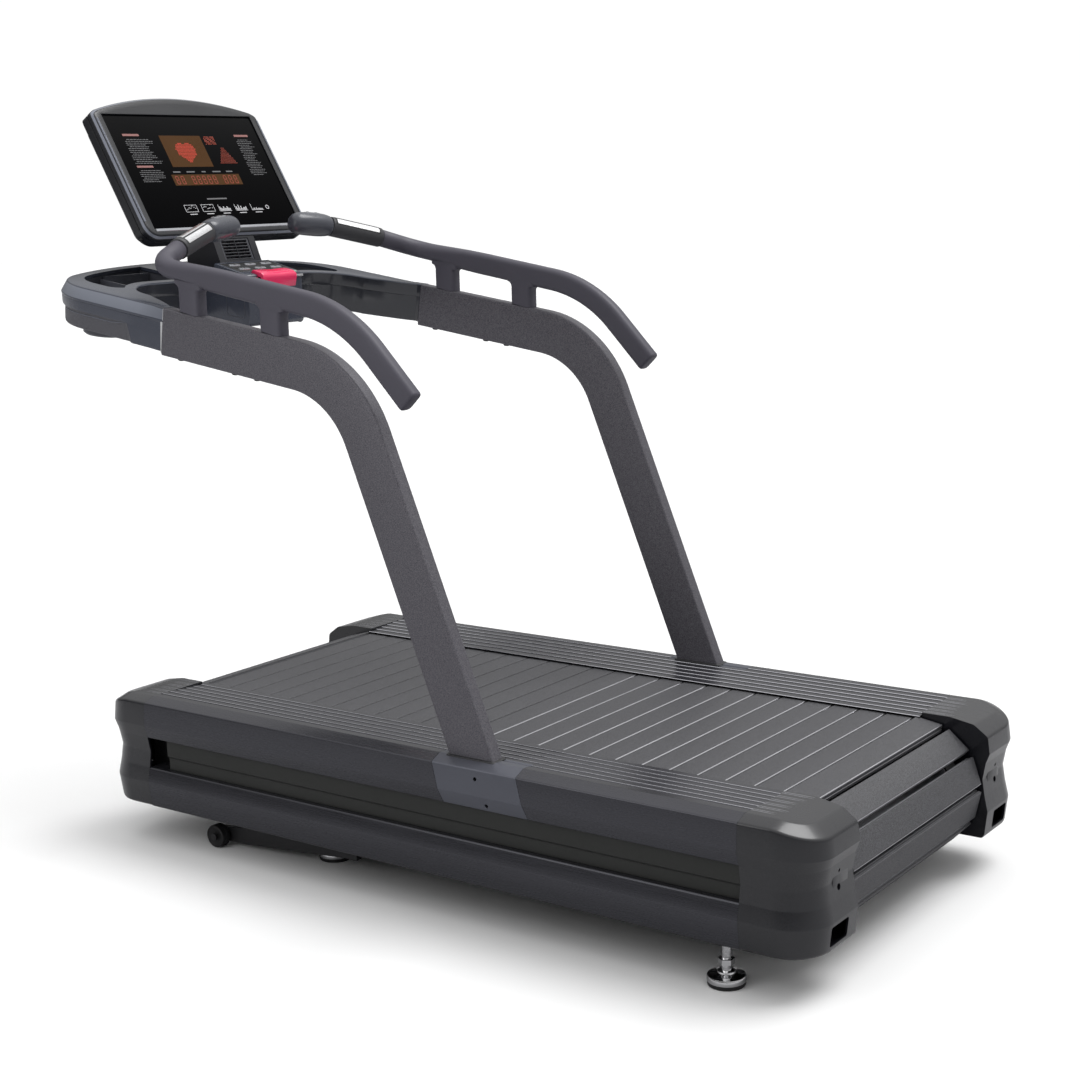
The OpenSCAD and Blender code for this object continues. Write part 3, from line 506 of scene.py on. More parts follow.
def combine(o, shapes, operation):
    """Joins closed shapes, given as (verts, faces) in millimetres, to a piece or cuts them out."""
    tools = []
    for v, f in shapes:
        me = bpy.data.meshes.new("tool")
        me.from_pydata([V(*p) for p in v], [], f)
        edit_mesh(me, face_outwards)
        tools.append(link(bpy.data.objects.new("tool", me)))
    bpy.context.view_layer.update()
    for tool in tools:
        b = o.modifiers.new("combine", "BOOLEAN")
        b.operation = operation
        b.object = tool
        b.solver = "EXACT"
    result = o.evaluated_get(bpy.context.evaluated_depsgraph_get())
    me = bpy.data.meshes.new_from_object(result)
    o.modifiers.clear()
    o.data = me
    for tool in tools:
        bpy.data.objects.remove(tool)


def cut(o, shapes):
    combine(o, shapes, "DIFFERENCE")


def box(x0, x1, y0, y1, z0, z1):
    v = [(x, y, z) for z in (z0, z1) for x, y in ((x0, y0), (x1, y0), (x1, y1), (x0, y1))]
    return v, [(3, 2, 1, 0), (4, 5, 6, 7), (0, 1, 5, 4), (1, 2, 6, 5), (2, 3, 7, 6), (3, 0, 4, 7)]


def lathe(profile, origin, axis, n=40):
    """Turned shape: profile of (radius, height) along axis from origin."""
    a = Vector(axis).normalized()
    u = a.orthogonal().normalized()
    w = a.cross(u)
    rings = []
    for r, h in profile:
        r = max(r, 0.01)
        rings.append([tuple(Vector(origin) + a * h + (u * math.cos(t) + w * math.sin(t)) * r)
                      for t in (2 * math.pi * k / n for k in range(n))])
    return loft(rings)


def merge(parts):
    """Several shapes as one."""
    verts, faces = [], []
    for v, f in parts:
        k = len(verts)
        verts += v
        faces += [tuple(a + k for a in t) for t in f]
    return verts, faces


# ---------------- slat belt ----------------

PITCH, SLATS, SPAN, AXLE_Y = 60, 60, 1453, 147
BELT_R = (PITCH * SLATS - 2 * SPAN) / (2 * math.pi)
R0 = BELT_R + 2.2
AXLE_Z = 315 - R0 - 18.3
HALF = math.pi * BELT_R


def on_belt(i):
    """Maps (across, along, out) of slat i to the machine."""
    s = 42 + i * PITCH
    if s <= SPAN:
        y, a = AXLE_Y + s, 0
    elif s <= SPAN + HALF:
        y, a = AXLE_Y + SPAN, -(s - SPAN) / BELT_R
    elif s <= 2 * SPAN + HALF:
        y, a = AXLE_Y + SPAN - (s - SPAN - HALF), math.pi
    else:
        y, a = AXLE_Y, -math.pi - (s - 2 * SPAN - HALF) / BELT_R
    c, k = math.cos(a), math.sin(a)
    return lambda x, t, r: (x, y + t * c - r * k, AXLE_Z + t * k + r * c)


half_2d = [(10, 2.2), (12, 0), (25.5, 0), (28.3, 3), (28.3, 8), (27, 9), (27, 11), (28.4, 12), (28.4, 14.8)]
bar_2d = [(t, R0 + r) for t, r in half_2d] + [(-t, R0 + r) for t, r in reversed(half_2d)]
T0 = R0 + 14.8
tread_2d = [(-28.5, T0), (28.5, T0), (28.5, T0 + 2.2), (27.9, T0 + 3.2), (27.0, T0 + 3.5),
            (-26.8, T0 + 3.5), (-27.8, T0 + 3.1), (-28.5, T0 + 1.9)]
bars, treads = [], []
for i in range(SLATS):
    at = on_belt(i)
    bars.append(extrude(at, bar_2d, (-281.5, 281.5), "x"))
    treads.append(loft([[at(x, t * (1 - d / 28.5), r - (d if r > T0 + 1 else 0)) for t, r in tread_2d]
                        for x, d in ((-282, 0.9), (-281.1, 0), (281.1, 0), (282, 0.9))]))
obj("slat_bars", *merge(bars), "alloy", slot="slat_alloy", stands=("slats",), smooth=20)
v, f = merge(treads)
per = len(treads[0][1])
# The rear lip of each slat tread gets bright metal as a painted highlight, except at the front half of the
# running surface, where it stays rubber.
kinds = [1 if k % per in (13, 14) and not 12 <= k // per < 27 else 0 for k in range(len(f))]
obj("slat_rubber", v, f, ["rubber", "lip"], slot="tread_rubber", stands=("slat_treads",), mat_of=kinds,
    smooth=20)

# ---------------- rails ----------------

GROOVES = range(298, 409, 22)
CAP_LEN = 145


def tread_z(x):
    return 320.5 + 0.049 * (x - 277)


def rail_top():
    """Top line of the rail from the belt outwards, with the kind of the face after each point; kind 1 takes
    the painted highlight on the inner top edge and the groove edges.
    """
    pts = [(277, 318.4, 0), (277, 319.7, 1), (277.9, 320.5, 0)]
    for g in GROOVES:
        z = tread_z(g)
        pts += [(g - 4, tread_z(g - 4), 1), (g - 3, z - 0.5, 0), (g - 2.2, z - 1.8, 0),
                (g + 2.2, z - 1.8, 0), (g + 3, z - 0.5, 1), (g + 4, tread_z(g + 4), 0)]
    return pts


def rail_ring(x_min, x_max):
    """Section of the rail between two places."""
    top = [p for p in rail_top() if x_min <= p[0] <= x_max]
    inner_foot = (352, tread_z(352) - 4, 0)
    if x_max < 440:
        return top + [(x_max, tread_z(x_max), 0), (x_max, tread_z(x_max) - 4, 0), inner_foot]
    outer = round_poly([(411, tread_z(411)), (430, 328), (460, 318), (464, 268), (456, 240), (440, 240)],
                       [0, 7, 4, 5, 2, 0], 4, closed=False)
    ring = top + [(x, z, 0) for x, z in outer[1:]]
    ring += [(440, 244, 0), (453, 244, 0), (459.8, 268.5, 0), (456.3, 315.2, 0), (429.4, 324, 0)]
    if x_min > 300:
        return [(x_min, tread_z(x_min), 0)] + ring + [(x_min, tread_z(x_min) - 4, 0)]
    return ring + [(396, tread_z(396) - 4, 0), inner_foot]


def run(ring, y0, y1, shear0=0.0, shear1=0.0):
    """A rail section run along y; the ends lean with height where shear is set."""
    return loft([[(x, y + s * (z - 225), z) for x, z, _ in ring] for y, s in ((y0, shear0), (y1, shear1))])


LEAN = 0.3
RUN_0, RUN_1 = CAP_LEN + 0.3, FRONT - CAP_LEN - 0.3
whole, inner_part = rail_ring(0, 999), rail_ring(0, 397)
# Kind 1 faces get the painted highlight on the groove edges.
kinds = [k for ring in (whole, whole, inner_part) for k in [k for *_, k in ring] + [0, 0]]
pair("side_rail", *merge([run(whole, RUN_0, 583.6, 0, LEAN), run(whole, 782.4, RUN_1, LEAN, 0),
                          run(inner_part, 583.6, 782.4, LEAN, LEAN)]),
     ["rail", "rail_line"], slot="rail_extrusion", stands=("side_rail_{side}",), mat_of=kinds, smooth=24)
covers = pair("foot_cover", *run(rail_ring(397.4, 999), 584.4, 781.6, LEAN, LEAN), "cover",
              slot="cover_metal", smooth=24)
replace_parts(covers[0], "foot_covers")
for c, (s, _) in zip(covers, SIDES):
    cut(c, [lathe([(4, -30), (4, 30)], (s * x, y, z), (s, 0, 0), 20)
            for x, y, z in ((462, 706, 300), (460, 682, 251))])

low = round_poly([(398.7, 85), (455, 85), (462, 141), (455, 173), (398.7, 173)], [0, 6, 7, 5, 0], 4)
pair("lower_rail", *extrude(here, low, (RUN_0, RUN_1), "y"), "rail", slot="lower_extrusion",
     stands=("lower_rail_{side}",), smooth=24)
dress("side_panels", "panel", 0.6)

# ---------------- end caps ----------------

CAP_X, CAP_R, CAP_DROP, HATCH_Y = 379, 85, 24, 13.4
cap_2d = round_poly([(0, 85), (76, 85), (83, 141), (76, 173), (71, 207), (77, 240), (85, 268),
                     (81, 318), (51, 328), (0, 325.5)], [0, 9, 9, 9, 14, 12, 9, 7, 16, 0], 4, closed=False)


def cap_skin():
    """Outer skin of a rear cap on the right: along the side, round the corner, along the rear."""
    def sunk(u, z, share):
        return z - share * CAP_DROP * (u / 83) ** 1.5 * min(1, max(0, (z - 250) / 60))

    rings = [[(CAP_X + u, y, z) for u, z in cap_2d] for y in (CAP_LEN, CAP_R)]
    for k in range(1, 14):
        a = math.radians(90 * k / 14)
        rings.append([(CAP_X + u * math.cos(a), CAP_R - u * math.sin(a), sunk(u, z, math.sin(a) ** 1.3))
                      for u, z in cap_2d])
    rings += [[(x, CAP_R - u, sunk(u, z, 1)) for u, z in cap_2d] for x in (CAP_X, 287)]
    v, f = loft(rings, closed=False, caps=False)
    n = len(cap_2d)
    last = (len(rings) - 1) * n
    k = len(v)
    v += [(287, CAP_LEN, 85), (287, CAP_LEN, 325.5)]
    f.append((k, *range(last, last + n), k + 1))
    f.append((last, k, 0, n))
    f.append((last + n - 1, k + 1, n - 1, 2 * n - 1))
    return v, f


def corner(end, s):
    """Maps the rear right corner to another one."""
    return lambda x, y, z: (s * x, y if end == "rear" else FRONT - y, z)


hatch_ring = round_poly([(309, 179), (365, 179), (365, 235), (309, 235)], 12, 5)
seam_ring = scaled(hatch_ring, 1.03, 1.03, 337, 207)
port_ring = round_poly([(322, 97), (386, 97), (386, 134), (322, 134)], 5, 3)
for end, s, side_name in [(end, *side) for end in ("rear", "front") for side in SIDES]:
    at = corner(end, s)
    name = f"{end}_cap_{side_name}"
    o = obj(f"{name}_shell", *placed(at, cap_skin()), "cap", slot="cap_plastic", stands=(name,), smooth=180)
    wall = o.modifiers.new("wall", "SOLIDIFY")
    wall.thickness = 0.005
    wall.offset = -1
    inward = (0, 1 if end == "rear" else -1, 0)
    bores = [lathe([(r, -5), (r, 30)], at(344, 0, z), inward, n) for r, z, n in ((6, 193, 24), (3.4, 223, 20))]
    cut(o, [extrude(at, port_ring, (-5, 40), "y")] + bores)
    smooth_by_angle(o, 30)
    # Hatch plate, set off by a fine seam.
    plate_rings = [[at(x, HATCH_Y + d, z) for x, z in ring]
                   for ring, d in ((seam_ring, 0.4), (seam_ring, -0.5), (hatch_ring, -0.9))]
    hatch = obj(f"{name}_hatch", *loft(plate_rings), "cap", slot="cap_plastic", smooth=30)
    cut(hatch, bores)
    obj(f"{name}_port_back", *placed(at, box(318, 390, 38, 42, 90, 142)), "black", slot="cap_plastic")
    # Raised lines on the cap carry the painted highlight of the rail's groove edges.
    lines = []
    for g in GROOVES:
        y_end = 96 - abs(353 - g) * 0.25 if g < 400 else 100
        for x in (g - 3.4, g + 3.4):
            z = 325.5 + max(0, x - CAP_X) * 0.049
            lines.append(loft([[at(x + a, y, z + b) for a, b in ((-w, -0.4), (w, -0.4), (w, h), (-w, h))]
                               for y, w, h in ((CAP_LEN, 0.6, 0.3), (y_end + 18, 0.6, 0.3),
                                               (y_end, 0.15, 0.02))]))
    obj(f"{name}_lines", *merge(lines), "rail_line", slot="rail_extrusion")
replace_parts(bpy.data.objects["rear_cap_left_hatch"], "cap_hatches")

# ---------------- uprights ----------------

LEG, ARM, BEND_R = math.radians(21.7), math.radians(8.8), 220
XC, SEAM_Y = 415, 1504
CORNER = Vector((0, 1020, 1037.4))


def ahead(slope):
    """Direction in the side plane at a slope above the horizontal."""
    return Vector((0, math.cos(slope), math.sin(slope)))


def bend_down(start, slope0, slope1, r, steps):
    """Points and directions round a bend in the side plane from one slope down to another."""
    centre = start + ahead(slope0 - math.pi / 2) * r
    slopes = [slope0 + (slope1 - slope0) * k / steps for k in range(1, steps + 1)]
    return [(centre - ahead(a - math.pi / 2) * r, ahead(a)) for a in slopes]


leg_d, arm_d = ahead(math.pi / 2 - LEG), ahead(ARM)


def upright_path():
    top = CORNER + X * XC
    start = top - leg_d * (BEND_R * math.tan((math.pi / 2 - LEG - ARM) / 2))
    path = [(top - leg_d * ((CORNER.z - 130) / math.cos(LEG)), leg_d), (start, leg_d)]
    path += bend_down(start, math.pi / 2 - LEG, ARM, BEND_R, 24)
    return path + [(top + arm_d * ((SEAM_Y - CORNER.y) / math.cos(ARM) - 0.3), arm_d)]


section = rrect(31.8, 97.8, 4, 4)
pair("upright_bar", *sweep([(o, X, X.cross(d), section) for o, d in upright_path()]), "upright",
     slot="upright_paint", stands=("upright_{side}",), smooth=30)


def arm_point(s, y):
    return CORNER + X * (s * XC) + arm_d * ((y - CORNER.y) / math.cos(ARM))


def foot_at(a, b, z):
    """Places a point about the leg's axis at height z."""
    return (XC + a, CORNER.y - (CORNER.z - z) * math.tan(LEG) + b, z)


# Collar plate round the foot of each upright, bolts under the arm, bright wedge at the console's seam.
collars, bolts, wedges = [], [], []
for s in (-1, 1):
    at = flipped(foot_at, s)
    collars.append(loft([[at(a * k, b * k, 325.5 - 0.03 * a + h) for a, b in rrect(42, 118, 7, 4)]
                         for k, h in ((1, -6), (1, 2.2), (0.97, 3.4))]))
    for y in (1250, 1310, 1462):
        bolts.append(lathe([(0, 48), (7, 48), (7, 51.5), (5.6, 53.2), (0, 53.6)], arm_point(s, y),
                           ahead(ARM - math.pi / 2), 20))
    seam = arm_point(s, SEAM_Y) + arm_d * 0.2

    def seam_at(a, b, c):
        return tuple(seam + X * s * a + X.cross(arm_d) * b + arm_d * c)

    wedges.append(loft([[seam_at(a, b, w * k) for a, b, w in
                         ((16.6, 20, 5.6), (16.6, -43, 1.2), (12, -43, 1.2), (12, 20, 5.6))] for k in (0, 1)]))
    wedges.append(extrude(seam_at, ((16, 48), (16, 23), (13, 23), (13, 48)), (0, 1)))
obj("upright_collars", *merge(collars), "frame", slot="upright_paint", smooth=30)
obj("arm_bolts", *merge(bolts), "black", slot="upright_paint", smooth=30)
obj("seam_wedges", *merge(wedges), "wedge", slot="console_plastic")

# ---------------- handrails ----------------

RISE, FALL, TAIL_R, ELBOW_R = math.radians(9.93), math.radians(46.4), 310, 75
TAIL_C = Vector((XC, 1018.4, 1157.7))
ELBOW, GRIP_AT = Vector((415, 1523, 1246)), Vector((324, 1555, 1275))
POD_AT, POD_END = Vector((194, 1600, 1307)), Vector((92, 1620, 1318))
tail_d, rise_d = ahead(FALL), ahead(RISE)
cross_d = (GRIP_AT - ELBOW).normalized()


def frame_of(d):
    """Section axes across direction d, with y as near as it can be to the rail's upward side."""
    ref = X.cross(rise_d)
    y = (ref - d * ref.dot(d)).normalized()
    return d.cross(y), y


path = []
for inset, back in ((6, 0.0), (3, 0.8), (0.9, 2.6), (0, 5.5)):
    section = rrect(33 - 2 * inset, 49 - 2 * inset, max(2, 12 - inset))
    path.append((TAIL_C - tail_d * (226 - back), tail_d, section))
start = TAIL_C - tail_d * (TAIL_R * math.tan((FALL - RISE) / 2))
path += [(o, d, rrect(33, 49, 12)) for o, d in [(start, tail_d)] + bend_down(start, FALL, RISE, TAIL_R, 20)]
# The section turns round before the elbow.
elbow_turn = rise_d.angle(cross_d)
start = ELBOW - rise_d * (ELBOW_R * math.tan(elbow_turn / 2))
for back, m in ((150, 0), (110, 0.15), (70, 0.45), (35, 0.75), (12, 0.93)):
    path.append((start - rise_d * back, rise_d, rrect(33 + 7 * m, 49 - 9 * m, 12 + 8 * m)))
stations = [(o, X, X.cross(d), section) for o, d, section in path]
inward = (cross_d - rise_d * rise_d.dot(cross_d)).normalized()
for k in range(17):
    a = elbow_turn * k / 16
    d = rise_d * math.cos(a) + inward * math.sin(a)
    o = start + (inward - inward * math.cos(a) + rise_d * math.sin(a)) * ELBOW_R
    stations.append((o, *frame_of(d), rrect(40, 40, 20)))
for back, w in ((2, 40), (0.6, 37.6)):
    stations.append((GRIP_AT - cross_d * back, *frame_of(cross_d), rrect(w, w, w / 2)))


def arm_top(y):
    return CORNER.z + math.tan(ARM) * (y - CORNER.y) + 49 / math.cos(ARM)


def rail_low(y):
    return 1218 + math.tan(RISE) * (y - 1363) - 24.5 / math.cos(RISE)


def post(y0, y1, flare=11, edge=9):
    """A post from the arm up into the rail, flared at its top and rounded at its sides."""
    def flared(y, s):
        return [(y + s * flare * (1 - math.cos(t)),
                 rail_low(y) - flare * (1 - math.sin(t)) + s * flare * 0.17 * (1 - math.cos(t)))
                for t in (0, 0.4, 0.8, 1.2, 1.57)]

    outline = [(y0, arm_top(y0) + 0.3), (y1, arm_top(y1) + 0.3)] + flared(y1, 1)
    outline += [(y1 + flare, rail_low(y1) + 10), (y0 - flare, rail_low(y0) + 10)] + flared(y0, -1)[::-1]
    turns = [math.pi / 6 * k for k in range(4)]
    sides = [(edge * (1 - math.sin(a)), edge * (1 - math.cos(a)) - 16.2) for a in turns]
    sides += [(d, -x) for d, x in reversed(sides)]
    middle = (y0 + y1) / 2
    return loft([[(XC + x, y - d if y > middle else y + d, z) for y, z in outline] for d, x in sides])


pair("handrail_body", *merge([sweep(stations), post(1175, 1231), post(1398, 1454)]), "skin",
     slot="handrail_skin", stands=("handrail_{side}",), smooth=50)


def side_frame(o, d):
    """Maps (towards the user, up, along) at o."""
    up = (Vector(UP) - d * d.z).normalized()
    user = up.cross(d)
    return lambda a, b, c: tuple(o + user * a + up * b + d * c)


# Grip with its sensor plates, and the pod with its rocker key.
grip_len, pod_len = (POD_AT - GRIP_AT).length, (POD_END - POD_AT).length
at_grip = side_frame(GRIP_AT, (POD_AT - GRIP_AT).normalized())
at_pod = side_frame(POD_AT, (POD_END - POD_AT).normalized())
grip = loft([[at_grip(a, b, c) for a, b in circle(r, 48)] for c, r in
             ((0.6, 20.4), (1.2, 21.8), (3, 22.5), (grip_len - 8, 22.5), (grip_len - 4.8, 22.3),
              (grip_len - 4, 21))])
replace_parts(pair("grip_body", *grip, "grip", slot="grip_plastic", smooth=40)[0], "hand_grips")


def plate(a0, a1, c0, c1, r0, r1):
    """A curved plate on the grip between two angles."""
    rings = []
    for c, ins in ((c0, 1.0), (c0 + 0.8, 0), (c1 - 0.8, 0), (c1, 1.0)):
        ring = arc(0, 0, r1 - ins * 0.7, a0, a1, 10) + arc(0, 0, r0, a1, a0, 10)
        rings.append([at_grip(a, b, c) for a, b in ring])
    return loft(rings)


for name, mat, slot, ins, r0, r1 in (("plate_frame", "black", "grip_plastic", 0, 21, 23.0),
                                     ("pulse_plate", "steel", "sensor_steel", 4, 21.5, 23.4)):
    plates = [plate(a + ins, a + 44 - ins, 10 + ins, grip_len - 10 - ins, r0, r1) for a in (20, 66)]
    pair(name, *merge(plates), mat, slot=slot, smooth=40)
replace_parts(bpy.data.objects["pulse_plate_left"], "pulse_plates")

pod = []
for c, ru, rd, wd, lift in ((-1, 21, 21, 21.5, 0), (1.5, 23.2, 23, 23.4, 0), (9, 25, 24.3, 25, 0),
                            (20, 26.5, 25.6, 26.6, 0), (32, 26.8, 26.2, 27, 0), (58, 26.8, 26.4, 27, 0),
                            (76, 26.2, 26, 26.6, 0), (88, 24.6, 24.8, 25, 0), (97, 21.6, 22, 22, -0.5),
                            (103, 17, 17.5, 17.5, -1), (106, 12, 12, 12.5, -1.2), (107.4, 6, 6, 6, -1.4)):
    pod.append([at_pod(wd * a, (ru if b > 0 else rd) * b + lift, c * pod_len / 104.5)
                for a, b in circle(1, 40)])
pods = pair("pod_body", *loft(pod), "pod", slot="pod_plastic", smooth=50)
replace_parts(pods[0], "remote_pods")
KEY_C = 48.5
pocket = [(a, KEY_C + c) for a, c in rrect(19.2, 44.4, 7.6, 5)]
for o, (s, _) in zip(pods, SIDES):
    cut(o, [extrude(flipped(at_pod, s), pocket, (15.5, 40), "y")])
    smooth_by_angle(o, 40)
rocker = loft([[at_pod(a * k, h + 0.5 * (c / 21) ** 2 + (0.9 * math.cos(c / 21 * 3.1) if h > 25 else 0),
                       KEY_C + c * k) for a, c in rrect(17.6, 42, 7, 5)]
               for h, k in ((19.6, 1), (26.2, 1), (27.2, 0.97), (27.6, 0.88))])
pair("rocker", *rocker, "silver", body="rocker_{side}", slot="key_metal", stands=("remote_rocker_{side}",),
     smooth=40)
arrows = [extrude(at_pod, ((-3.4, c - 2 * s), (3.4, c - 2 * s), (0, c + 3 * s)), (27.6, 28.35), "y")
          for c, s in ((36, -1), (61, 1))]
pair("rocker_marks", *merge(arrows), "black", body="rocker_{side}", slot="key_metal")

# ---------------- console ----------------

ca, sa = math.cos(ARM), math.sin(ARM)
TRAY_FRONT = (1974.0 - 1509.0 - 90 * sa) / ca + 3
FRONT_R, CORNER_R, HALF_W, END_Y = 826.0, 170.0, 431, -11.7
# Centres of the front arc and of the right corner's arc, which meet at TURN degrees.
FRONT_C, KX = TRAY_FRONT - FRONT_R, HALF_W - CORNER_R
KY = FRONT_C + math.sqrt((FRONT_R - CORNER_R) ** 2 - KX * KX)
TURN = math.degrees(math.atan2(KY - FRONT_C, KX))


def T(x, y, z):
    """From the console's own frame: y forward from the seam along its top."""
    return (x, 1509 + y * ca - z * sa, 1163 + y * sa + z * ca)


def up_of(place):
    return Vector(place(*UP)) - Vector(place(0, 0, 0))


def tray_half(d):
    """Right half of the outline, inset by d, from the middle of the scoop to that of the front.

    The third value is the place: s scoop, e end at the arm, a side by the arm, b side and front.
    """
    half = [(47 * k, 227 + d, "s") for k in range(1, 5)]
    half += [(x, y, "s") for x, y in arc(235, 117, 110 + d, 90, 0, 24)]
    half += [(374 + d, 45, "s"), (386 + d, 20, "s"), (399 + d, -2, "s")]
    half += [(399 + d, END_Y, "e"), (HALF_W - d, END_Y, "e")]
    half += [(HALF_W - d, y, "a") for y in (30, 60, 86)] + [(HALF_W - d, y, "b") for y in (104, 150, 200)]
    half += [(x, y, "b") for x, y in arc(KX, KY, CORNER_R - d, 0, TURN, 24)]
    return half + [(x, y, "b") for x, y in arc(0, FRONT_C, FRONT_R - d, TURN, 90, 14)[1:-1]]


half_places = [k for *_, k in tray_half(0)]
PLACES = half_places + ["b"] + half_places[::-1] + ["s"]


def tray_ring(z, d_of, shift=0.0):
    """One level of the outline; d_of gives the inset for each place, shift moves the step in the side."""
    lines = {k: tray_half(d) for k, d in d_of.items()}
    half = []
    for i, k in enumerate(half_places):
        x, y, _ = lines[k][i]
        half.append((x, y + shift if k in "ab" and abs(y - 95) < 12 else y))
    ring = half + [(0, TRAY_FRONT - d_of["b"])] + [(-x, y) for x, y in reversed(half)] + [(0, 227 + d_of["s"])]
    return [T(x, y, z) for x, y in ring]


def recess_half(d):
    """Outline of the right recess, grown by d."""
    out = [(100 - d, 252 - d), (170, 252 - d)] + arc(235, 117, 135 - d, 90, 42, 12)
    out += arc(336, 233, 26 + d, -84, 0, 8) + arc(262, 268, 100 + d, 0, 70, 14)
    front = [(x, FRONT_C + math.sqrt((FRONT_R - 38 + d) ** 2 - x * x)) for x in (280, 240, 200, 150, 100 - d)]
    return out + front


def recess_cut(z0, z1, d=0.0, s=1):
    return extrude(flipped(T, s), recess_half(d), (z0, z1))


def shell(name, levels, mats, pick, slot, node):
    """A part of the console from its levels; pick gives the material by level and place."""
    mat_of = [pick(i, k) for i in range(len(levels) - 1) for k in PLACES]
    mat_of += [pick(-1, "b"), pick(len(levels), "b")]
    return obj(name, *loft([tray_ring(*p) for p in levels]), mats, slot=slot, stands=(node,), mat_of=mat_of,
               smooth=24)


def level(z, b, s=None, a=None, shift=0.0):
    return z, {"b": b, "s": b if s is None else s, "e": 0.4, "a": b if a is None else a}, shift


def hollow(z0, z1, wall, scoop, end):
    return loft([tray_ring(z, {"a": wall, "b": wall, "s": scoop, "e": end}) for z in (z0, z1)])


top = shell(
    "console_top",
    [level(-30, 12, 12), level(-30, 1.4, 1.2), level(-27.5, 0.3, 0.6), level(-25.5, 0, 0.4),
     level(-24.4, 0.5, 0.2), level(-3.2, 10.6, 0.2), level(-1.2, 12.4, 1.5), level(0, 15.5, 4)],
    ["console", "band", "gloss_wall"],
    lambda i, k: 2 if k == "s" and 0 < i < 5 else 1 if k in "ab" and i == 4 else 0,
    "console_plastic", "console_tray")
cut(top, [hollow(-60, -9, 17, 14, 12), recess_cut(-60, 30), recess_cut(-60, 30, s=-1)])
bevel(top, 2.2, 3, 60)
smooth_by_angle(top, 24)

CUP = (308, 290)
tray_up = up_of(T)
low = shell(
    "console_lower",
    [level(-89.8, 20, 14, 12), level(-89.8, 13, 4, 3, -8), level(-88.2, 11.2, 2.6, 1.6, -8),
     level(-84, 10, 2, 1, -6), level(-54, 9, 1.2, 0.8, 6), level(-51.5, 8, 1.2, 0.8, 7),
     level(-50.6, 4.4, 1.2, 0.8, 7), level(-47, 3, 1.2, 0.8, 7), level(-31, 1.4, 1.2, 0.7),
     level(-29.8, 2.4, 2.4, 2.4), level(-29.8, 12, 12, 12)],
    ["shell", "console", "gloss_wall"],
    lambda i, k: 2 if k == "s" and 1 < i < 9 else 0 if k == "b" and i < 5 else 1,
    "shell_plastic", "console_underside")
cut(low, [hollow(-85, -10, 20, 16, 13)]
    + [lathe([(50.6, -120), (50.6, -70)], T(s * CUP[0], CUP[1], 0), tray_up, 48) for s in (-1, 1)])
smooth_by_angle(low, 24)

# Raised line along the side of the lower shell.
LINE_R = CORNER_R - 8.9
line_path = [(KX + LINE_R, y) for y in (112, 150, 200)] + arc(KX, KY, LINE_R, 0, 30, 8)
outward = [(1, 0)] * 3 + arc(0, 0, 1, 0, 30, 8)
lines = [loft([[T(s * (x + nx * a), y + ny * a, (-53 if i == 0 else -58) + b)
                for a, b in ((-1, -0.9), (0.9, -0.3), (0.9, 0.5), (-1, 0.9))]
               for i, ((x, y), (nx, ny)) in enumerate(zip(line_path, outward))]) for s in (-1, 1)]
obj("shell_lines", *merge(lines), "band", slot="shell_plastic")

# Recesses, each with a bottle well, a tray and ribs.
ribs = []
for s, side_name in SIDES:
    side_T = flipped(T, s)
    cup_at, tray_at = side_T(*CUP, 0), flipped(shifted(T, 179, 317), s)
    o = obj(f"recess_{side_name}", *recess_cut(-38, -6.5, 3.6, s), "well", slot="well_plastic",
            stands=("cup_wells",) if s < 0 else ())
    combine(o, [lathe([(44, -118), (49.2, -114), (50, -108), (50, -20)], cup_at, tray_up, 56),
                extrude(tray_at, rrect(146, 118, 10), (-52, -20))], "UNION")
    cut(o, [recess_cut(-34, 30, 0.0, s),
            lathe([(41, -114), (45, -111), (46, -100), (46, -38), (48.5, -32)], cup_at, tray_up, 56),
            loft([[tray_at(x, y, z) for x, y in rrect(138 - k, 110 - k, 8)]
                  for z, k in ((-48, 3), (-44, 0), (-30, 0), (30, 0))])])
    bevel(o, 1.5, 2, 50)
    smooth_by_angle(o, 30)
    for x, y in ((254, 262), (262, 268)):
        ribs.append(extrude(flipped(shifted(T, x, y), s), rrect(4.4, 4.4, 2.1, 3), (-34.5, -10, -9.2)))
    ribs.append(extrude(side_T, ((252, 264), (252, 376), (255, 376), (255, 264)), (-48.5, -14)))
    ribs.append(extrude(side_T, ((104, 383), (240, 381), (240, 385), (104, 387)), (-34.5, -9.5)))
obj("recess_ribs", *merge(ribs), "silver_dim", slot="well_plastic", smooth=40)

# ---------------- control block ----------------

cb, sb = math.cos(math.radians(14)), math.sin(math.radians(14))


def K(x, y, z):
    """From the frame of the block's sloped top."""
    return (x, 1590 + y * cb - z * sb, 1207 + y * sb + z * cb)


outline = round_poly([(1590, 1098), (1598, 1092), (1751.5, 1114), (1751.5, 1249.5), (1591.6, 1208)],
                     [14, 10, 6, 3, 7], 5)
rings = [[(x, y, z) for y, z in scaled(outline, 1 - d / 80, 1 - d / 60, 1671, 1165)]
         for x, d in ((-88, 3.2), (-87.2, 1.0), (-85, 0), (85, 0), (87.2, 1.0), (88, 3.2))]
block = obj("control_housing", *loft(rings), "console", slot="console_plastic", stands=("control_block",),
            smooth=30)
cut(block, [
    placed(K, box(-80, 80, 30, 100, -4, 20)),
    placed(K, box(-56, 56, -12, 24, -9, 20)),
    box(-100, 100, 1692, 1772, 1203, 1283),
    placed(T, box(-200, 200, 227.2, 400, -94, 0.3)),
    box(-84, 84, 1594, 1680, 1060, 1180),
])
smooth_by_angle(block, 30)

# Panel outline on the block's sides.
outline = round_poly([(1604, 1112), (1660, 1119), (1660, 1198), (1604, 1184)], 8, 4)
inner = scaled(outline, 0.955, 0.965, 1632, 1153)
frames = [hollow_prism(lambda y, z, x: (s * x, y, z), outline, inner, (86, 88.5)) for s in (-1, 1)]
obj("block_side_frames", *merge(frames), "cover", slot="console_plastic", smooth=30)

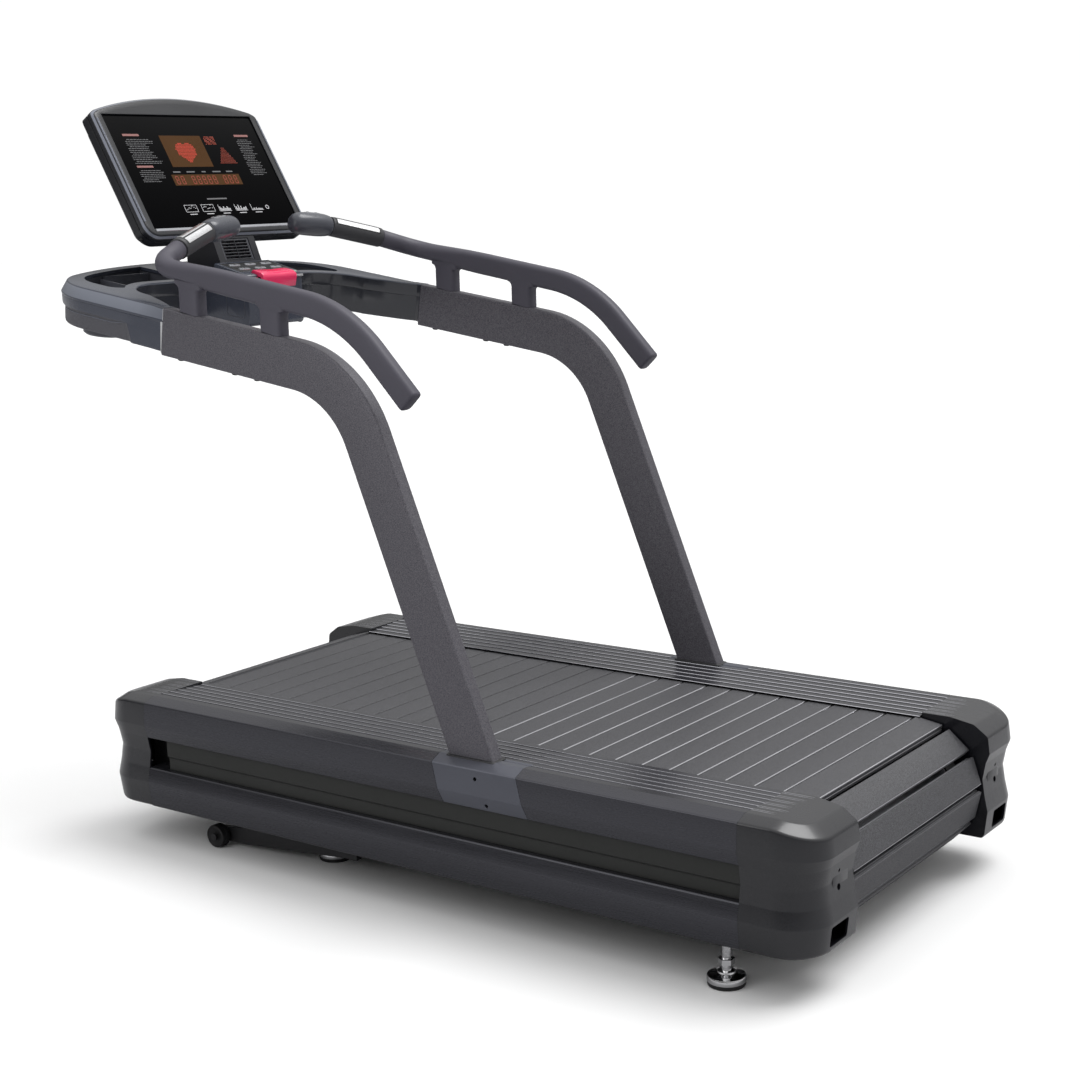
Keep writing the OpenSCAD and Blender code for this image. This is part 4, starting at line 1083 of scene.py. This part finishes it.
panel = slab("keypad_plate", rrect(159.6, 69.6, 6, 5), shifted(K, 0, 65), -3.8, 1.2, 1.0, "black",
             slot="panel_black", stands=("keypad_panel",), smooth=30)
keys = [(-50 + 50 * (i % 3), 48 + 32 * (i // 3)) for i in range(6)]
cut(panel, [extrude(shifted(K, x, y), rrect(32.8, 14.8, 7.4, 8), (-2.2, 9)) for x, y in keys])
smooth_by_angle(panel, 30)
KEY_MARKS = (((-4, -2.4), (4, -2.4), (0, 3.4)), rrect(6, 6, 0.8, 2), ((-4, 2.4), (0, -3.4), (4, 2.4)))
for i, (x, y) in enumerate(keys):
    at, body = shifted(K, x, y), f"key_{i + 1}"
    rings = [[at(a, b, z) for a, b in scaled(rrect(32, 14, 7, 8), kx, ky)]
             for z, kx, ky in ((-0.6, 1, 1), (2.2, 1, 1), (3.1, 0.975, 0.94), (3.4, 0.92, 0.82))]
    obj(f"key_cap_{i + 1}", *loft(rings), "silver", body=body, slot="key_metal", stands=(body,), smooth=40)
    obj(f"key_mark_{i + 1}", *extrude(at, KEY_MARKS[i % 3], (3.2, 3.62)), "black", body=body, slot="key_metal")

# Stop piece: a saddle over the block's rear edge, with ridges.
saddle_2d = [(22, -3.4), (22, 4.8), (20.6, 6.8), (14, 7.7), (4, 8.0), (-5, 7.6), (-10.5, 5.6), (-14, 1.8),
             (-15.8, -4), (-16, -24), (-15, -26), (-9.6, -26), (-8.7, -24), (-8.6, -3.6)]
rings = []
for x, dip in ((-54, 1.6), (-53, 0.7), (-50, 0.2), (-30, 0.4), (-12, 1.5), (0, 1.9), (12, 1.5), (30, 0.4),
               (50, 0.2), (53, 0.7), (54, 1.6)):
    rings.append([K(x, y + dip * 0.8 if y < -9 and z > -25 and abs(x) < 40 else y, z - dip if z > 4 else z)
                  for y, z in saddle_2d])
obj("stop_saddle", *loft(rings), "stop", body="stop_button", slot="stop_red", stands=("stop_button",),
    smooth=50)
ridges = []
for y in (1 + 3.4 * k for k in range(5)):
    ridges.append(loft([[K(x, y + a, z) for a, z in ((-0.7, 6.0), (-0.4, 8.2 - d), (0.4, 8.2 - d), (0.7, 6.0))]
                        for x, d in ((-44, 0.7), (-20, 0.9), (0, 1.75), (20, 0.9), (44, 0.7))]))
obj("stop_ridges", *merge(ridges), "stop", body="stop_button", slot="stop_red", smooth=40)
trim_2d = ((1587.9, 1197.2), (1587.3, 1200), (1588.2, 1203), (1590.4, 1203), (1590.4, 1197.2))
obj("trim_bars", *merge([extrude(flipped(here, s), trim_2d, (58, 88), "x") for s in (-1, 1)]), "chrome",
    slot="trim_chrome", stands=("trim_strip",), smooth=30)
button = lathe([(0, -1), (5.4, -1), (5.4, 1.4), (4.6, 2.2), (0, 2.5)], K(70, 8, 0), up_of(K), 24)
obj("block_button", *button, "green", slot="console_plastic")

# ---------------- neck, vent, fan ----------------

dress("console_neck", "neck", 3.0, 3, 40)
dress("vent_grille", "well", 0.8, 2, 40)
dress("fan", "frame", 0.5)
ga, gs = math.cos(math.radians(68)), math.sin(math.radians(68))


def G(x, y, z):
    """From the frame of the vent's face."""
    return (x, 1708 + y * ga - z * gs, 1268 + y * gs + z * ga)


fin_2d = ((-1.1, -3), (-0.6, -0.4), (0.6, -0.6), (1.1, -3))
fins = [extrude(shifted(G, 0, 7.5 * i - 29.2), fin_2d, (-41, 41), "x") for i in range(7)]
fins.append(extrude(G, ((-1.2, -3), (-0.8, -0.2), (0.8, -0.2), (1.2, -3)), (-30, 17), "y"))
obj("vent_fins", *merge(fins), "neck", slot="well_plastic", smooth=30)

# ---------------- display ----------------

ARCH_R = 860
da, ds = math.cos(math.radians(59.6)), math.sin(math.radians(59.6))


def D3(x, y, z):
    """From the frame of the display's face."""
    return (x, 1799.5 + y * da - z * ds, 1439.5 + y * ds + z * da)


def display_ring(d, z):
    """Outline of the housing, inset by d, with an arched top."""
    half_w, low_y, r = 258 - d, d - 170, 34 - d * 0.6
    arch_y = 194 - d - ARCH_R
    y_top = arch_y + math.sqrt(ARCH_R ** 2 - half_w ** 2)
    half = arc(half_w - r, low_y + r, r, -90, 0, 8)
    half += [(half_w, y_top - 12), (half_w - 0.8, y_top - 6.5), (half_w - 3.4, y_top - 2.4),
             (half_w - 9, y_top + 0.9)]
    half += arc(0, arch_y, ARCH_R, math.degrees(math.acos((half_w - 16) / ARCH_R)), 90, 10)
    return [D3(x, y, z) for x, y in half + [(-x, y) for x, y in reversed(half[:-1])]]


rings = [display_ring(*p) for p in ((32, -62), (28, -61.6), (25, -59), (22, -50), (18, -40), (12, -37.6),
                                    (3, -36.5), (0.8, -34), (0.4, -15.2), (2.4, -14.0))]
back = obj("display_rear", *loft(rings), "bezel", slot="display_plastic", stands=("display_back",), smooth=35)
slots = [placed(D3, box(x - 2.5, x + 2.5, -40, 40, -70, -58)) for x in range(-64, 65, 16)]
cut(back, slots + [loft([display_ring(34, -58), display_ring(34, -16)])])
smooth_by_angle(back, 35)

rings = [display_ring(*p) for p in ((3, -14.2), (0.6, -13.4), (0, -11), (0, -3.4), (1.2, -2.2), (5.5, 1.6),
                                    (7.4, 3.4), (9.6, 4), (20, 3.4))]
kinds = [1 if i == 4 else 0 for i in range(len(rings) - 1) for _ in rings[0]] + [0, 0]
bezel = obj("display_frame", *loft(rings), ["bezel", "band"], slot="display_plastic",
            stands=("display_bezel",), mat_of=kinds, smooth=28)
cut(bezel, [placed(D3, box(-231.2, 231.2, -145.7, 145.7, -30, 20))])
bevel(bezel, 1.6, 3, 60)
smooth_by_angle(bezel, 28)

# Knurled strip and seam along both sides of the housing, a bright lower edge, screws.
knurls, seams, screws = [], [], []
for s in (-1, 1):
    side_D = flipped(D3, s)
    for y in (-126 + 2.7 * k for k in range(97)):
        knurls.append(placed(side_D, box(246.4, 251.0, y - 0.95, y + 0.95, -1.8, 4.9)))
    seams.append(placed(side_D, box(257.4, 258.6, -136, 148, -16.2, -13.2)))
    screws.append(lathe([(0, -4), (3.6, -4), (3.6, 1.2), (2.2, 1.8), (0, 1.8)], side_D(253, -154, -26),
                        (s, -0.25 * da, -0.25 * ds), 20))
obj("display_knurling", *merge(knurls), "band", slot="display_plastic")
obj("display_seams", *merge(seams), "black", slot="display_plastic")
obj("display_screws", *merge(screws), "black", slot="display_plastic")
low_edge = extrude(D3, ((-149.5, 3.4), (-147.2, 5.6), (-152.5, 5.2), (-154, 3.2)), (-229, 229), "x")
obj("display_low_edge", *low_edge, "silver", slot="display_plastic")
slab("display_pane", [(-230.8, -145.3), (230.8, -145.3), (230.8, 145.3), (-230.8, 145.3)], D3, -7.8, 1.0, 0.8,
     "gloss", slot="display_glass", stands=("display_glass",), smooth=30)


def marks(name, mat, rects, h=0.5):
    """Flat raised marks on the glass; rects are (x0, x1, y0, y1)."""
    obj(name, *merge([placed(D3, box(*rect, 0.6, 1.0 + h)) for rect in rects]), mat, slot="display_glass")


def text_block(x0, x1, y_top, rows, pitch, seed):
    """Rows of short bars that stand for lines of small print."""
    out = []
    s = seed
    for r in range(rows):
        x = x0 + (6 if r % 4 == 0 else 0)
        s = (s * 16807 + 7) % 2147483647
        end = x1 - (s % 23) * (x1 - x0) / 60
        while x < end:
            s = (s * 16807 + 7) % 2147483647
            w = 3 + s % 7
            out.append((x, min(x + w, end), y_top - r * pitch - 1.5, y_top - r * pitch))
            x += w + 1.6
    return out


marks("print_heads", "print_pink", [(-196, -148, 90, 95.5), (-196, -148, 9, 14), (150, 196, 90, 95.5)])
marks("print_lines", "print_dim", text_block(-196, -112, 82, 14, 4.7, 11)
      + text_block(-196, -124, 2, 7, 4.7, 23) + text_block(150, 202, 82, 21, 4.7, 37))
marks("window_main", "amber", [(-89, 38, 10, 92)], 0.3)
marks("window_row", "amber", [(-106, 106, -38, -10)], 0.3)
heart = []
for y in (75 - 3.7 * r for r in range(15)):
    for x in (-25.5 + 3.3 * c for c in range(-9, 10)):
        a, b = (x + 25.5) / 26, (y - 45) / 22
        if (a * a + b * b - 1) ** 3 - a * a * b ** 3 < 0.02:
            heart.append((x - 1.1, x + 1.1, y - 1.1, y + 1.1))
marks("led_heart", "led", heart, 0.6)
dots = [(47 + c * 3.4, 49.2 + c * 3.4, 88 - r * 3.2, 90.2 - r * 3.2)
        for r in range(7) for c in range(10) if (r * 7 + c * 3) % 5]
dots += [(66 + c * 3.7, 67.9 + c * 3.7, 58 - r * 3.3, 59.9 - r * 3.3)
         for r in range(13) for c in range(15) if abs(c - 7) <= 1 + r * 0.5]
marks("led_dots", "led_dim", dots)
digits = []
for x in (-98 + g * 16.6 for g in range(12) if g not in (2, 8)):
    digits += [(x + a, x + a + 1.6, y, y + 8) for a in (0, 8.4) for y in (-34, -24.2)]
    digits += [(x + 1.2, x + 9, y, y + 1.6) for y in (-35, -24.9, -15.6)]
marks("led_digits", "led_dim", digits)
labels = [(x, x + w, -4.8, -1.6) for x, w in ((-96, 22), (-55, 25), (-8, 12), (26, 26), (70, 20))]
marks("print_labels", "print_dim", labels + [(-31, 31, -76, -72.6)])
icons = []
for i in range(5):
    x0 = -112 + i * 52
    icons += [(x0, x0 + 38, -107, -105.8), (x0, x0 + 1.2, -107, -90), (x0 + 8, x0 + 30, -113.5, -111.5)]
    for k in range(9):
        h = (3, 5, 8, 6, 10, 13, 9, 6, 4)[(k * (i + 1) + i * 2) % 9]
        if i >= 2:
            icons.append((x0 + 3 + k * 3.8, x0 + 5.6 + k * 3.8, -105, -105 + h * (0.35 if i == 4 else 1)))
        elif k < 8:
            icons.append((x0 + 4 + k * 3.8, x0 + 8 + k * 3.8, -104 + h, -103 + h))
    if i < 2:
        icons += [(x0, x0 + 38, -89.4, -88.4), (x0 + 37, x0 + 38, -107, -89)]
marks("print_icons", "print", icons)
ring_mark = hollow_prism(shifted(D3, 149, -100), circle(5.4, 28), circle(3.6, 28), (0.6, 1.5))
obj("print_mark", *ring_mark, "print", slot="display_glass")

# ---------------- feet, wheels ----------------------

FEET = {"rear_left": (-418, 192), "rear_right": (418, 192),
        "front_left": (-310, 1205), "front_right": (310, 1205)}
pad_2d = [(31, 0), (33.6, 0.6), (34.4, 2.5), (34.4, 7.6), (33, 9)]
dish_2d = [(33.2, 7.8), (35, 8.2), (35, 16.4), (34, 18.6), (28, 20.6), (19, 22), (16.4, 23.2), (15.8, 26),
           (9, 27.5)]
for name, (x, y) in FEET.items():
    o = (x, y, 0)
    body = f"foot_{name}"
    nut = loft([[(x + a, y + b, z) for a, b in circle(r, 6)]
                for z, r in ((38, 14.2), (39, 15.5), (49, 15.5), (50, 14.2))])
    stem = lathe([(9, 20), (9, 104), (8, 108)], o, UP, 28)
    obj(f"{body}_chrome", *merge([lathe(dish_2d, o, UP, 48), stem]), "chrome", body=body, slot="foot_chrome",
        stands=(body,), smooth=35)
    obj(f"{body}_nut", *nut, "chrome", body=body, slot="foot_chrome", smooth=20)
    obj(f"{body}_pad", *lathe(pad_2d, o, UP, 48), "tyre", body=body, slot="foot_chrome", smooth=40)
    threads = [lathe([(8.9, z), (9.5, z + 0.7), (9.5, z + 0.9), (8.9, z + 1.6)], o, UP, 24)
               for z in (52 + 2.2 * k for k in range(22))]
    obj(f"{body}_thread", *merge(threads), "chrome", body=body, slot="foot_chrome", smooth=40)

WHEEL_Y, WHEEL_Z = 1469, 25
wheel_2d = [(6, 380.4), (14, 380.2), (15, 382), (20.5, 382.4), (22, 380.6), (24.2, 381.4), (25, 383.6),
            (25, 391), (24.4, 391.6), (24.4, 392.4), (25, 393), (25, 400.4), (24.2, 402.6), (22, 403.4),
            (20.5, 401.6), (15, 401.2), (14, 400.6), (6, 400.6)]
wheel_rings = [[(h, WHEEL_Y + a, WHEEL_Z + b) for a, b in circle(r, 48)] for r, h in wheel_2d]
wheel_v, wheel_f = loft(wheel_rings, caps=False)
k = 48 * (len(wheel_2d) - 1)
wheel_f += [(k + j, k + (j + 1) % 48, (j + 1) % 48, j) for j in range(48)]
pair("transport_wheel", wheel_v, wheel_f, "tyre", body="wheel_{side}", slot="wheel_rubber",
     stands=("wheel_{side}",), smooth=35)

# ---------------- inner machine ----------------

for node, mat, width in (
    ("base_frame", "frame", 1.5), ("guide_rails", "guide", 0.8), ("belt_bands", "tyre", 0.4),
    ("front_drum", "drum", 0.8), ("rear_drum", "drum", 0.8), ("bearings", "frame", 1.5),
    ("drive_motor", "frame", 1.5), ("motor_pulley", "drum", 0.8), ("drive_belt", "tyre", 0.4),
    ("lift_frame", "frame", 1.2), ("lift_actuator", "frame", 1.5), ("lift_tube", "drum", 0.6),
    ("power_inlet", "black", 0.8),
):
    dress(node, mat, width)
